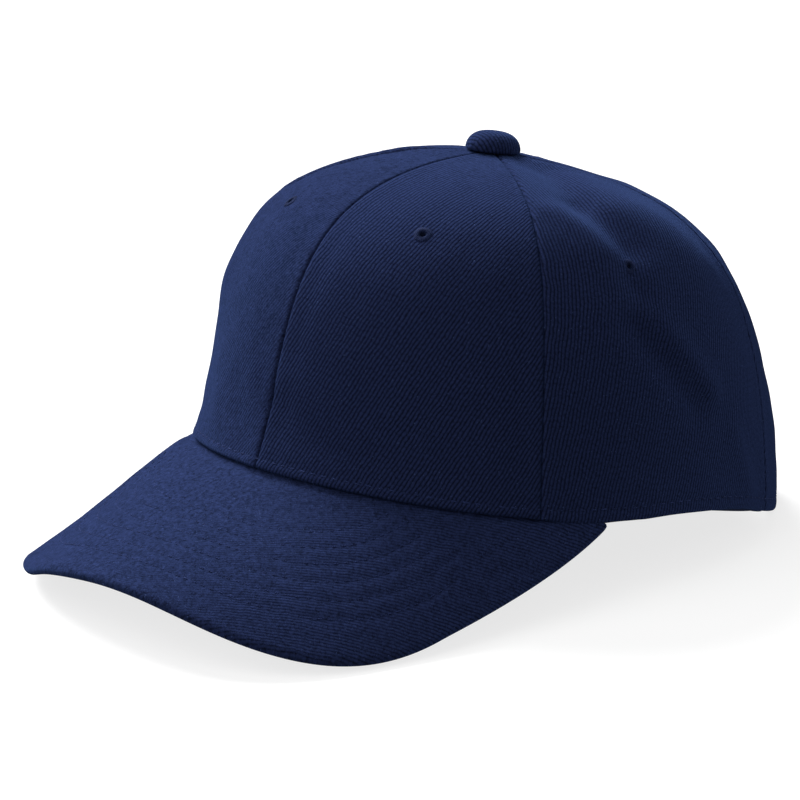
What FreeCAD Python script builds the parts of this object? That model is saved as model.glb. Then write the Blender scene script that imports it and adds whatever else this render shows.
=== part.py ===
import FreeCAD, Part
import math
import os
from functools import lru_cache

# Six-panel cloth cap with a curved brim, a covered top button and a hook-and-loop back strap.
# Millimetres and degrees. The wearer looks along -Y, the wearer's left is +X, and +Z is up.
# Shapes are worked out in the crown's own frame, where the rim's plan is an ellipse about the
# origin. At the end the cap is tilted nose up until it stands on its brim and its back rim.

# Crown: plan of the rim
HALF_WIDTH = 83.2
HALF_LENGTH = 99.1
CROWN_HEIGHT = 118.6
TOP_SHIFT = -5.7

# Crown: the cubic outline from rim to top, each value for (front, side, back)
LOWER_BULGE = (-0.12, -0.035, -0.03)
LOWER_REACH = (0.613, 0.792, 0.527)
UPPER_WIDTH = (0.859, 0.836, 0.591)
UPPER_REACH = (1.0, 0.961, 0.939)
WAIST = (2.0, 0.3, 0.0)
WAIST_PLACE = 0.13

# Crown: height of the rim
RIM_FRONT = 29.7
RIM_SIDE = 7.4
RIM_BACK = 7.0

# Brim
BRIM_RADIUS = 118.6
BRIM_SQUARENESS = 0.26
BRIM_SLOPE = 22.7
BRIM_HALF_WIDTH = 89.5
BRIM_LENGTH = 63.4
BRIM_CORNER = -20.0
BRIM_ROUNDNESS = 2.2
BRIM_END_ANGLE = 74.0
BRIM_TUCK = 0.8
COVER_THICKNESS = 0.6
BOARD_THICKNESS = 1.8
BOARD_INSET = 1.4
STITCH_ROWS = 6
STITCH_INSET = 12.5
STITCH_PITCH = 6.0
THREAD_WIDTH = 0.5
THREAD_THICKNESS = 0.25
THREAD_GAP = 0.2

# Cloth layers of the crown, measured inwards from its outer face
PANEL_THICKNESS = 0.8
BUCKRAM_THICKNESS = 0.6
BUCKRAM_FOOT = 3.0
BUCKRAM_TOP = 0.93
TAPE_THICKNESS = 0.5
TAPE_WIDTH = 12.0
TAPE_DEPTH = 1.55
TAPE_STEP = 0.55
TAPE_FOOT = 3.0
BAND_THICKNESS = 0.9
BAND_DEPTH = 2.45
BAND_HEIGHT = 32.0
BAND_FOOT = 1.4
INTERLINING_FOOT = 2.0
INTERLINING_HEIGHT = 30.5
BAND_END_ANGLE = 145.0
LAYER_GAP = 0.05
PANEL_TOP = 0.985
PANEL_FOOT = 0.6
SEAM_GAP = 0.06
RIM_STITCH_HEIGHT = 4.4
RIM_STITCH_END = 141.0

# Eyelets: one in each panel
EYELET_HOLE = 1.0
EYELET_WALL = 0.5
EYELET_FLANGE = 3.1
EYELET_RISE = 0.5
SLEEVE_END = 0.3
EYELET_PLACES = {"front": (30.0, 0.595), "side": (82.0, 0.48), "back": (150.0, 0.55)}

# Top button
BUTTON_RADIUS = 8.6
BUTTON_HEIGHT = 5.8
BUTTON_BASE = 0.5
BUTTON_TILT = 5.0
BUTTON_PIVOT_DEPTH = 2.0
SHANK_RADIUS = 1.1
WASHER_RADIUS = 4.5
WASHER_THICKNESS = 0.5
WASHER_SPACE = 1.0
SHANK_HEAD = 0.8
PLATE_MARGIN = 1.0

# Back opening, strap and binding
OPENING_HALF_WIDTH = 39.0
OPENING_HEIGHT = 52.0
BINDING_WIDTH = 2.4
BINDING_OUTSIDE = 0.6
BINDING_INSIDE = 1.2
STRAP_FOOT = 2.6
STRAP_HEIGHT = 22.0
STRAP_THICKNESS = 1.0
PATCH_THICKNESS = 0.5
PATCH_MARGIN = 2.0
MOVING_GAP = 0.35
OUTER_STRAP_DEPTH = 1.6
HINGE_X = 30.0
TAB_END_X = 45.5
TAB_GAP = 1.6
OUTER_TIP_X = -25.0
INNER_TIP_X = 20.0
PATCH_START_X = 8.0

SEAMS = (0.0, 60.0, 120.0, 180.0, 240.0, 300.0)


def harmonic(values, angle):
    """A smooth value round the crown: front at 0, side at 90 and back at 180 degrees."""
    front, side, back = values
    turn = math.radians(angle)
    mean = (front + back) / 4 + side / 2
    return mean + (front - back) / 2 * math.cos(turn) + ((front + back) / 4 - side / 2) * math.cos(2 * turn)


def smooth(value):
    value = min(1.0, max(0.0, value))
    return value * value * (3 - 2 * value)


def rim_plan(angle, inward=0.0):
    turn = math.radians(angle)
    return (HALF_WIDTH - inward) * math.sin(turn), -(HALF_LENGTH - inward) * math.cos(turn)


# ---------------------------------------------------------------- brim sheet

@lru_cache(maxsize=None)
def brim_arch(across):
    """Sideways reach, drop and slope of the arched brim at a distance across its cloth."""
    steps = 24
    reach = 0.0
    drop = 0.0
    for step in range(steps):
        run = abs(across) * (step + 0.5) / steps
        slope = run / BRIM_RADIUS * (1 + BRIM_SQUARENESS * (run / BRIM_HALF_WIDTH) ** 2)
        reach += math.cos(slope) * abs(across) / steps
        drop += math.sin(slope) * abs(across) / steps
    end = abs(across) / BRIM_RADIUS * (1 + BRIM_SQUARENESS * (across / BRIM_HALF_WIDTH) ** 2)
    sign = 1.0 if across >= 0 else -1.0
    return sign * reach, drop, sign * end


def brim_point(across, ahead, depth):
    """A point of the brim: across its arch, ahead of the rim's front, depth below its top face."""
    reach, drop, slope = brim_arch(across)
    tilt = math.radians(BRIM_SLOPE)
    normal = FreeCAD.Vector(
        math.sin(slope) * math.cos(tilt), -math.cos(slope) * math.sin(tilt), math.cos(slope) * math.cos(tilt)
    ).normalize()
    base = FreeCAD.Vector(
        reach, -HALF_LENGTH - ahead * math.cos(tilt), RIM_FRONT - drop - ahead * math.sin(tilt)
    )
    return base - normal * depth


@lru_cache(maxsize=None)
def brim_inner(angle, inward):
    """Where the brim meets the rim at this angle, as (across, ahead)."""
    x, y = rim_plan(angle, inward)
    across = x
    for _ in range(14):
        across += x - brim_arch(across)[0]
    return across, (-HALF_LENGTH - y) / math.cos(math.radians(BRIM_SLOPE))


def brim_outer(side, inset):
    """The brim's outer edge, from side -1 to 1, as (across, ahead)."""
    share = math.sin(side * math.pi / 2)
    rise = (1 - abs(share) ** BRIM_ROUNDNESS) ** (1 / BRIM_ROUNDNESS)
    across = (BRIM_HALF_WIDTH - inset) * share
    return across, BRIM_CORNER + (BRIM_LENGTH - inset - BRIM_CORNER) * rise


def brim_sheet(side, reach, depth, inset):
    """The brim's cloth: side -1 to 1 across, reach 0 at the rim and 1 at the outer edge."""
    inner = brim_inner(side * BRIM_END_ANGLE, BRIM_TUCK)
    outer = brim_outer(side, inset)
    across = inner[0] + (outer[0] - inner[0]) * reach
    ahead = inner[1] + (outer[1] - inner[1]) * reach
    return brim_point(across, ahead, depth)


# ------------------------------------------------------------- crown surface

@lru_cache(maxsize=None)
def rim_height(angle):
    """Rim height: on the brim in front, then easing to the side and back heights."""
    turn = abs((angle + 180.0) % 360.0 - 180.0)
    across, ahead = brim_inner(min(turn, BRIM_END_ANGLE), 0.0)
    on_brim = brim_point(across, ahead, 0.0).z
    past = max(0.0, (turn - BRIM_END_ANGLE) / (180.0 - BRIM_END_ANGLE))
    ease = math.sin(min(past * 1.6, 1.0) * math.pi / 2) ** 2
    return on_brim + (RIM_SIDE - on_brim) * ease + (RIM_BACK - RIM_SIDE) * (1 - math.cos(math.pi * past)) / 2


def meridian(angle, part):
    """Radius and height of the outer face at part 0 (rim) to 1 (top), and the slope of both."""
    x, y = rim_plan(angle)
    rim_radius = math.hypot(x, y - TOP_SHIFT)
    foot = rim_height(angle)
    rise = CROWN_HEIGHT - foot
    radii = (rim_radius, rim_radius * (1 + harmonic(LOWER_BULGE, angle)),
             rim_radius * harmonic(UPPER_WIDTH, angle), 0.0)
    heights = (foot, foot + rise * harmonic(LOWER_REACH, angle),
               foot + rise * harmonic(UPPER_REACH, angle), CROWN_HEIGHT)
    rest = 1 - part
    weights = (rest ** 3, 3 * part * rest ** 2, 3 * part ** 2 * rest, part ** 3)
    middle = 6 * part * rest
    slopes = (-3 * rest ** 2, 3 * rest ** 2 - middle, middle - 3 * part ** 2, 3 * part ** 2)
    radius = sum(w * r for w, r in zip(weights, radii))
    height = sum(w * h for w, h in zip(weights, heights))
    turn_in = sum(w * r for w, r in zip(slopes, radii))
    climb = sum(w * h for w, h in zip(slopes, heights))
    waist = harmonic(WAIST, angle)
    share = part / WAIST_PLACE
    radius -= waist * share * math.exp(1 - share)
    turn_in -= waist * (1 - share) * math.exp(1 - share) / WAIST_PLACE
    return radius, height, turn_in, climb


def crown_point(angle, part, depth):
    """A point of the crown, depth inside its outer face."""
    x, y = rim_plan(angle)
    plan = FreeCAD.Vector(x, y - TOP_SHIFT, 0).normalize()
    radius, height, turn_in, climb = meridian(angle, part)
    size = math.hypot(turn_in, climb)
    radius -= depth * climb / size
    height += depth * turn_in / size
    return FreeCAD.Vector(plan.x * radius, TOP_SHIFT + plan.y * radius, height)


@lru_cache(maxsize=None)
def part_at(angle, length):
    """The part of the outline that lies this far above the rim, along the cloth."""
    steps = 60
    travelled = 0.0
    last = meridian(angle, 0.0)
    for step in range(1, steps + 1):
        here = meridian(angle, step / steps)
        run = math.hypot(here[0] - last[0], here[1] - last[1])
        if travelled + run >= length:
            return (step - 1 + (length - travelled) / run) / steps
        travelled += run
        last = here
    return 1.0


def angle_across(angle, part, depth, across):
    """The angle of the point that stands this far to the side of the seam's upright plane."""
    x, y = rim_plan(angle)
    along = FreeCAD.Vector(x, y - TOP_SHIFT, 0).normalize()
    sideways = FreeCAD.Vector(-along.y, along.x, 0)
    found = angle
    for _ in range(8):
        point = crown_point(found, part, depth)
        radius = math.hypot(point.x, point.y - TOP_SHIFT)
        reach = point.x * sideways.x + (point.y - TOP_SHIFT) * sideways.y
        found += math.degrees((across - reach) / radius)
    return found


def crown_above(x, y, depth):
    """The point of the crown above or below a place near its top."""
    radius = math.hypot(x, y - TOP_SHIFT)
    if radius < 1e-6:
        return FreeCAD.Vector(x, y, CROWN_HEIGHT - depth)
    step_x = x / radius
    step_y = (y - TOP_SHIFT) / radius
    a = (step_x / HALF_WIDTH) ** 2 + (step_y / HALF_LENGTH) ** 2
    b = step_y * TOP_SHIFT / HALF_LENGTH ** 2
    c = (TOP_SHIFT / HALF_LENGTH) ** 2 - 1
    reach = (-b + math.sqrt(b * b - a * c)) / a
    rim_x = step_x * reach
    rim_y = TOP_SHIFT + step_y * reach
    angle = math.degrees(math.atan2(rim_x / HALF_WIDTH, -rim_y / HALF_LENGTH))
    low, high = 0.4, 1.0
    for _ in range(40):
        middle = (low + high) / 2
        if meridian(angle, middle)[0] > radius:
            low = middle
        else:
            high = middle
    return FreeCAD.Vector(x, y, meridian(angle, high)[1] - depth)


@lru_cache(maxsize=None)
def back_place(x, height):
    """Angle and part of the outer face, at x across the back and this high above the rim."""
    angle = 180.0 - math.degrees(math.asin(x / HALF_WIDTH))
    part = 0.1
    for _ in range(12):
        part = part_at(round(angle, 6), height)
        point = crown_point(angle, part, 0.0)
        angle += math.degrees((point.x - x) / math.hypot(point.x, point.y))
    return angle, part


def back_point(x, height, depth):
    angle, part = back_place(x, height)
    return crown_point(angle, part, depth)


# ------------------------------------------------------------- solid helpers

def spread(first, last, count):
    return [first + (last - first) * step / (count - 1) for step in range(count)]


def sheet(point, rows, columns, depth):
    surface = Part.BSplineSurface()
    surface.interpolate([[point(row, column, depth) for column in columns] for row in rows])
    return surface


def slab(point, rows, columns, top, bottom):
    """The closed solid between the faces point(row, column, top) and the same at bottom."""
    upper = sheet(point, rows, columns, top)
    lower = sheet(point, rows, columns, bottom)
    u0, u1, v0, v1 = upper.bounds()
    a0, a1, b0, b1 = lower.bounds()
    rims = (
        (upper.uIso(u0), lower.uIso(a0)),
        (upper.uIso(u1), lower.uIso(a1)),
        (upper.vIso(v0), lower.vIso(b0)),
        (upper.vIso(v1), lower.vIso(b1)),
    )
    faces = [upper.toShape(), lower.toShape()]
    for above, below in rims:
        faces.append(Part.makeRuledSurface(above.toShape(), below.toShape()))
    shell = Part.Shell(faces)
    shell.sewShape()
    solid = Part.Solid(shell)
    if solid.Volume < 0:
        solid.reverse()
    return solid


def turned(outline, base):
    """A solid of revolution about an upright axis from (radius, height) points."""
    points = [FreeCAD.Vector(base.x + radius, base.y, base.z + height) for radius, height in outline]
    face = Part.Face(Part.makePolygon(points + [points[0]]))
    return face.revolve(base, FreeCAD.Vector(0, 0, 1), 360)


def dome(radius, height, base, wall):
    """A hollow flattened dome on the top button's axis, open below."""
    outer = []
    inner = []
    for step in range(12):
        turn = math.pi / 2 * step / 12
        share = math.cos(turn) ** 0.7
        rise = math.sin(turn)
        outer.append((radius * share, base + height * rise))
        inner.append(((radius - wall) * share, base + wall + (height - 2 * wall) * rise))
    outline = outer + [(0.0, base + height), (0.0, base + height - wall)] + list(reversed(inner))
    return turned(outline, FreeCAD.Vector(0, TOP_SHIFT, CROWN_HEIGHT))


def normal_at(angle, part):
    """Unit vector out of the crown's outer face."""
    step = 0.01
    here = crown_point(angle, part, 0.0)
    around = crown_point(angle + 1, part, 0.0) - here
    upwards = crown_point(angle, part + step, 0.0) - here
    return around.cross(upwards).normalize()


# -------------------------------------------------------------------- pieces

def panel_rows(start, end):
    gap = math.degrees(SEAM_GAP / HALF_WIDTH)
    return spread(start + gap, end - gap, 17)


def crown_slab(start, end, foot, top, outer, inner):
    """A curved piece of the crown between two angles, from foot above the rim up to part top."""
    def point(angle, share, depth):
        low = part_at(angle, foot)
        return crown_point(angle, low + (top - low) * share, depth)
    return slab(point, panel_rows(start, end), spread(0.0, 1.0, 13), outer, inner)


def eyelet_place(name):
    """Angle and part of a panel's eyelet, from the panel's name."""
    angle, part = EYELET_PLACES[name.split("_")[0]]
    if name.endswith("right"):
        angle = 360.0 - angle
    return angle, part


def drill(angle, part, radius):
    """A rod through the crown at an eyelet, for cutting its hole."""
    out = normal_at(angle, part)
    base = crown_point(angle, part, 0.0) + out * 4
    return Part.makeCylinder(radius, 8, base, out * -1)


def eyelet(angle, part, depth):
    """A worked eyelet: a flange on the outer face and a sleeve through the cloth."""
    out = normal_at(angle, part)
    base = crown_point(angle, part, 0.0)
    rise = LAYER_GAP * 2
    sleeve = EYELET_HOLE + EYELET_WALL
    flange = Part.makeCylinder(EYELET_FLANGE, EYELET_RISE, base + out * rise, out)
    flange = flange.makeFillet(EYELET_RISE * 0.6, [flange.Edges[0]])
    tube = Part.makeCylinder(sleeve, rise + EYELET_RISE + depth, base - out * depth, out)
    hole = Part.makeCylinder(EYELET_HOLE, 12, base - out * 6, out)
    return flange.fuse(tube).cut(hole).removeSplitter()


def long_tape(seam, crossing_depth, foot_front, foot_back):
    """A tape along one seam, over the top and down the opposite seam, with a hole for the shank.

    It lies against the panels and dives by crossing_depth where the tapes cross at the top."""
    crossing = 16.0
    dive_start = 0.55
    dive_run = 0.25
    headings = []
    for angle in (seam, seam + 180.0):
        x, y = rim_plan(angle)
        headings.append(FreeCAD.Vector(x, y - TOP_SHIFT, 0).normalize())
    near, far = headings
    sideways = FreeCAD.Vector(far.y - near.y, near.x - far.x, 0).normalize()

    def climb(angle, foot):
        low = part_at(angle, foot)
        high = low
        while meridian(angle, high)[0] > crossing:
            high += 0.002
        return [(angle, part) for part in spread(low, high, 11)]

    middle = [near * 9.0, near * 3.0, far * 3.0, far * 9.0]
    stations = climb(seam, foot_front) + middle + list(reversed(climb(seam + 180.0, foot_back)))

    def point(row, across, level):
        if isinstance(stations[row], tuple):
            angle, part = stations[row]
            level += crossing_depth * smooth((part - dive_start) / dive_run)
            side = across if angle == seam else -across
            return crown_point(angle_across(angle, part, level, side), part, level)
        place = stations[row] + sideways * across
        return crown_above(place.x, place.y + TOP_SHIFT, level + crossing_depth)

    half = TAPE_WIDTH / 2
    rows = range(len(stations))
    tape = slab(point, rows, spread(-half, half, 5), TAPE_DEPTH, TAPE_DEPTH + TAPE_THICKNESS)
    below_top = FreeCAD.Vector(0, TOP_SHIFT, CROWN_HEIGHT - 8)
    return tape.cut(Part.makeCylinder(SHANK_RADIUS + 0.5, 12, below_top))


def band(outer, inner, foot, height):
    """A strip round the inside of the rim, open at the back."""
    def point(angle, above, depth):
        return crown_point(angle, part_at(round(angle, 6), above), depth)
    rows = spread(-BAND_END_ANGLE, BAND_END_ANGLE, 49)
    return slab(point, rows, spread(foot, foot + height, 5), outer, inner)


def rim_stitching():
    def point(angle, above, depth):
        return crown_point(angle, part_at(round(angle, 6), above), depth)
    rows = spread(-RIM_STITCH_END, RIM_STITCH_END, 61)
    columns = spread(RIM_STITCH_HEIGHT, RIM_STITCH_HEIGHT + THREAD_WIDTH, 3)
    return slab(point, rows, columns, -THREAD_GAP - THREAD_THICKNESS, -THREAD_GAP)


def brim_layer(top, bottom, inset):
    def point(side, reach, depth):
        return brim_sheet(side, reach, depth, inset)
    return slab(point, spread(-1.0, 1.0, 45), spread(0.0, 1.0, 6), top, bottom)


def thread_end(inset):
    """How far out to the side a stitch row runs before it meets the crown."""
    side = 0.5
    while side < 0.98:
        across, ahead = brim_outer(side, inset)
        point = brim_point(across, ahead, 0.0)
        if (point.x / (HALF_WIDTH + 2)) ** 2 + (point.y / (HALF_LENGTH + 2)) ** 2 < 1:
            break
        side += 0.005
    return side


def brim_thread(inset):
    """One row of brim stitching on the top cover, parallel to the outer edge."""
    end = thread_end(inset)

    def point(share, offset, depth):
        across, ahead = brim_outer(share * end, inset + offset)
        return brim_point(across, ahead, depth)
    offsets = spread(-THREAD_WIDTH / 2, THREAD_WIDTH / 2, 3)
    return slab(point, spread(-1.0, 1.0, 33), offsets, -LAYER_GAP - THREAD_THICKNESS, -LAYER_GAP)


def half_moon():
    """A rod along Y with the opening's half-moon outline."""
    count = 40
    points = []
    for step in range(count + 1):
        turn = math.pi * step / count
        points.append(FreeCAD.Vector(
            OPENING_HALF_WIDTH * math.cos(turn), 50, RIM_BACK + OPENING_HEIGHT * math.sin(turn)))
    arch = Part.BSplineCurve()
    arch.interpolate(points)
    low = FreeCAD.Vector(0, 0, -30)
    sides = [Part.makeLine(points[-1], points[-1] + low), Part.makeLine(points[-1] + low, points[0] + low),
             Part.makeLine(points[0] + low, points[0])]
    face = Part.Face(Part.Wire([arch.toShape()] + sides))
    return face.extrude(FreeCAD.Vector(0, 100, 0))


def at_back(x, z, depth):
    """The point of the back that shows at this x and z when looked at along Y."""
    height = z - RIM_BACK
    for _ in range(10):
        point = back_point(x, max(0.05, height), 0.0)
        height += z - point.z
    return back_point(x, max(0.05, height), depth)


def binding():
    """Bias binding round the edge of the back opening."""
    clear = 0.15
    start = 0.03

    def point(turn, inward, depth):
        x = (OPENING_HALF_WIDTH - clear - inward) * math.cos(turn)
        z = RIM_BACK + (OPENING_HEIGHT - clear - inward) * math.sin(turn)
        return at_back(round(x, 6), round(z, 6), depth)
    turns = spread(start, math.pi - start, 33)
    return slab(point, turns, spread(0.0, BINDING_WIDTH, 3), -BINDING_OUTSIDE, BINDING_INSIDE)


def strap_slab(first_x, last_x, top, bottom, margin=0.0, rounded=False, shift=None):
    """A strip of the closure between two places across the back.

    margin narrows it, rounded curves its last end, and shift adds depth by place."""
    middle = STRAP_FOOT + STRAP_HEIGHT / 2
    half = STRAP_HEIGHT / 2 - margin
    nose = 7.0

    def point(share, side, depth):
        x = first_x + (last_x - first_x) * share
        reach = half
        left = abs(x - last_x)
        if rounded and left < nose:
            reach = half - nose * (1 - math.sqrt(max(0.0, 1 - (1 - left / nose) ** 2)))
        extra = shift(x) if shift else 0.0
        return back_point(round(x, 6), round(middle + reach * side, 6), depth + extra)
    shares = spread(0.0, 1.0, 12)
    if rounded:
        body = 1 - nose / abs(last_x - first_x)
        shares = spread(0.0, body, 9)
        shares += [body + (1 - body) * math.sin(turn * math.pi / 16) for turn in range(1, 9)]
    return slab(point, shares, spread(-1.0, 1.0, 5), top, bottom)


# ------------------------------------------------------------ build the nodes

pieces = {}
NAMES = ("front_panel_left", "side_panel_left", "back_panel_left",
         "back_panel_right", "side_panel_right", "front_panel_right")
moon = half_moon()

for index, name in enumerate(NAMES):
    start = SEAMS[index]
    angle, part = eyelet_place(name)
    panel = crown_slab(start, start + 60.0, PANEL_FOOT, PANEL_TOP, 0.0, PANEL_THICKNESS)
    panel = panel.cut(drill(angle, part, EYELET_HOLE + EYELET_WALL + LAYER_GAP))
    depth = PANEL_THICKNESS + SLEEVE_END
    if name.startswith("back"):
        panel = panel.cut(moon)
    if name.startswith("front"):
        inner = PANEL_THICKNESS + LAYER_GAP
        stiffener = crown_slab(
            start, start + 60.0, BUCKRAM_FOOT, BUCKRAM_TOP, inner, inner + BUCKRAM_THICKNESS)
        stiffener = stiffener.cut(drill(angle, part, EYELET_HOLE + EYELET_WALL + LAYER_GAP))
        pieces[name.replace("panel", "buckram")] = stiffener
        depth += BUCKRAM_THICKNESS
    pieces[name] = panel
    pieces[name.replace("panel", "eyelet")] = eyelet(angle, part, depth)

# Seam tapes: each runs over the top to the opposite seam, and they cross there
centre_tape_end = OPENING_HEIGHT + TAPE_WIDTH / 2
pieces["seam_tape_centre"] = long_tape(0.0, 0.0, TAPE_FOOT, centre_tape_end)
pieces["seam_tape_left_to_right"] = long_tape(60.0, TAPE_STEP, TAPE_FOOT, TAPE_FOOT)
pieces["seam_tape_right_to_left"] = long_tape(-60.0, TAPE_STEP * 2, TAPE_FOOT, TAPE_FOOT)

# Sweatband: a face cloth over a soft interlining
interlining_end = BAND_DEPTH + BAND_THICKNESS
pieces["sweatband_interlining"] = band(BAND_DEPTH, interlining_end, INTERLINING_FOOT, INTERLINING_HEIGHT)
cover_start = interlining_end + LAYER_GAP
cover_end = cover_start + BAND_THICKNESS
pieces["sweatband_cover"] = band(cover_start, cover_end, BAND_FOOT, BAND_HEIGHT)
pieces["rim_stitching"] = rim_stitching()

# Brim: cloth over and under a moulded board
board_top = COVER_THICKNESS + LAYER_GAP
under_top = board_top + BOARD_THICKNESS + LAYER_GAP
pieces["brim_top_cover"] = brim_layer(0.0, COVER_THICKNESS, 0.0)
pieces["brim_board"] = brim_layer(board_top, board_top + BOARD_THICKNESS, BOARD_INSET)
pieces["brim_under_cover"] = brim_layer(under_top, under_top + COVER_THICKNESS, 0.0)
pieces["brim_stitching"] = Part.makeCompound([
    brim_thread(STITCH_INSET + STITCH_PITCH * row) for row in range(STITCH_ROWS)])

# Top button: a cloth cover on a metal shell, with a shank clenched over a washer inside
top = FreeCAD.Vector(0, TOP_SHIFT, CROWN_HEIGHT)
shell_radius = BUTTON_RADIUS - COVER_THICKNESS - LAYER_GAP
shell_base = BUTTON_BASE + COVER_THICKNESS + LAYER_GAP
shell_height = BUTTON_HEIGHT - 2 * (COVER_THICKNESS + LAYER_GAP)
plate_top = shell_base - LAYER_GAP
plate_radius = shell_radius - PLATE_MARGIN
washer_top = -(TAPE_DEPTH + 2 * TAPE_STEP + TAPE_THICKNESS + WASHER_SPACE)
washer_base = washer_top - WASHER_THICKNESS
head_base = washer_base - SHANK_HEAD
pieces["button_cover"] = dome(BUTTON_RADIUS, BUTTON_HEIGHT, BUTTON_BASE, COVER_THICKNESS)
pieces["button_shell"] = dome(shell_radius, shell_height, shell_base, WASHER_THICKNESS)
pieces["button_post"] = turned([
    (0.0, plate_top), (plate_radius, plate_top), (plate_radius, BUTTON_BASE), (SHANK_RADIUS, BUTTON_BASE),
    (SHANK_RADIUS, washer_base - LAYER_GAP), (SHANK_RADIUS * 2, washer_base - LAYER_GAP),
    (SHANK_RADIUS * 1.6, head_base), (0.0, head_base)], top)
bore = SHANK_RADIUS + LAYER_GAP
pieces["button_washer"] = turned([
    (bore, washer_top), (WASHER_RADIUS, washer_top), (WASHER_RADIUS, washer_base), (bore, washer_base)], top)

pivot = top - FreeCAD.Vector(0, 0, BUTTON_PIVOT_DEPTH)
for name in ("button_cover", "button_shell", "button_post", "button_washer"):
    pieces[name].rotate(pivot, FreeCAD.Vector(1, 0, 0), -BUTTON_TILT)

# Back opening and closure: the outer strap from the wearer's left over the inner one
outer_bottom = OUTER_STRAP_DEPTH + STRAP_THICKNESS
hook_top = outer_bottom + LAYER_GAP
loop_top = hook_top + PATCH_THICKNESS + MOVING_GAP
inner_top = loop_top + PATCH_THICKNESS + LAYER_GAP
inner_bottom = inner_top + STRAP_THICKNESS


def dive(x):
    """Extra depth of the inner strap's sewn end, from the panel in to the strap."""
    share = (x + TAB_END_X) / (TAB_END_X - HINGE_X - TAB_GAP)
    return (inner_top - OUTER_STRAP_DEPTH) * smooth(share)


pieces["back_opening_binding"] = binding()
pieces["strap_tab_left"] = strap_slab(TAB_END_X, HINGE_X + TAB_GAP, OUTER_STRAP_DEPTH, outer_bottom)
pieces["strap_tab_right"] = strap_slab(
    -TAB_END_X, -HINGE_X - TAB_GAP, OUTER_STRAP_DEPTH, outer_bottom, shift=dive)
pieces["closure_strap_outer"] = strap_slab(
    HINGE_X, OUTER_TIP_X, OUTER_STRAP_DEPTH, outer_bottom, rounded=True)
pieces["hook_patch"] = strap_slab(
    PATCH_START_X, OUTER_TIP_X + PATCH_MARGIN, hook_top, hook_top + PATCH_THICKNESS, PATCH_MARGIN, True)
pieces["closure_strap_inner"] = strap_slab(-HINGE_X, INNER_TIP_X, inner_top, inner_bottom, rounded=True)
pieces["loop_patch"] = strap_slab(
    OUTER_TIP_X, INNER_TIP_X - PATCH_MARGIN, loop_top, loop_top + PATCH_THICKNESS, PATCH_MARGIN, True)

# The strap hinges' axes: the cloth lines at the straps' sewn ends
outer_middle = OUTER_STRAP_DEPTH + STRAP_THICKNESS / 2
inner_middle = inner_top + STRAP_THICKNESS / 2
strap_top = STRAP_FOOT + STRAP_HEIGHT
hinges = {
    "outer": (back_point(HINGE_X, STRAP_FOOT, outer_middle), back_point(HINGE_X, strap_top, outer_middle)),
    "inner": (back_point(-HINGE_X, STRAP_FOOT, inner_middle), back_point(-HINGE_X, strap_top, inner_middle)),
}


# --------------------------------------------------------- stand it and save

def stand(shapes):
    """The tilt that lets the cap stand on its brim and its back, and the shift to its base."""
    points = []
    for shape in shapes:
        points += [(p.x, p.y, p.z) for p in shape.tessellate(0.2)[0]]
    low, high = -15.0, 15.0
    for _ in range(40):
        tilt = (low + high) / 2
        sine = math.sin(math.radians(tilt))
        cosine = math.cos(math.radians(tilt))
        front = min(y * sine + z * cosine for _, y, z in points if y < 0)
        back = min(y * sine + z * cosine for _, y, z in points if y >= 0)
        if front < back:
            high = tilt
        else:
            low = tilt
    ends = [y * cosine - z * sine for _, y, z in points]
    middle = FreeCAD.Vector(0, (min(ends) + max(ends)) / 2, min(front, back))
    return tilt, middle * -1


tilt, shift = stand(pieces.values())
os.makedirs("parts", exist_ok=True)
for name, shape in pieces.items():
    shape.rotate(FreeCAD.Vector(), FreeCAD.Vector(1, 0, 0), tilt)
    shape.translate(shift)
    shape.exportStep(f"parts/{name}.step")
    print(name, len(shape.Solids), shape.isValid(), round(shape.Volume, 1))
turn = FreeCAD.Rotation(FreeCAD.Vector(1, 0, 0), tilt)
for name, (low_end, high_end) in hinges.items():
    base = turn.multVec(low_end) + shift
    axis = (turn.multVec(high_end) + shift - base).normalize()
    print("hinge", name, base, axis)
print("tilt", tilt, "shift", shift)
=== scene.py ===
import math
import bpy
import numpy as np
from mathutils import Matrix, Vector


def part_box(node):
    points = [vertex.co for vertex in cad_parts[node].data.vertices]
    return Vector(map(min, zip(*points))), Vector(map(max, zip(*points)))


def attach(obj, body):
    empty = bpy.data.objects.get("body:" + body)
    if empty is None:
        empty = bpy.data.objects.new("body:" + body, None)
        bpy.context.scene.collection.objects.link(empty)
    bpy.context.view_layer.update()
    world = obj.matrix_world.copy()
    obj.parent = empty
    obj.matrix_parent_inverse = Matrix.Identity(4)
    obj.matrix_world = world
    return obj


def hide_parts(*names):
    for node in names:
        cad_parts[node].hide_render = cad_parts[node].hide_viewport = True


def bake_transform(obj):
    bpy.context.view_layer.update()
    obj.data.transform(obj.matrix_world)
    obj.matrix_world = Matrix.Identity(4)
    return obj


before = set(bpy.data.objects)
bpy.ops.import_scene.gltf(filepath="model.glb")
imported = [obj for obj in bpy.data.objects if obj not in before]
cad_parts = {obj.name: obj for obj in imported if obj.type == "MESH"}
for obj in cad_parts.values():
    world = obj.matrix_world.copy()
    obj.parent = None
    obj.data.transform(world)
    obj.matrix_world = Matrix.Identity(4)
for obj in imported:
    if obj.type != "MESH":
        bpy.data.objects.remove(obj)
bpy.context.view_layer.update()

# A six-panel cloth cap. Shapes are worked out in the crown's own frame, in millimetres with the
# rim's plan centred on the origin, and stood in the row frame by one tilt and one shift.
# The driving dimensions are those of the CAD part.

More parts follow.
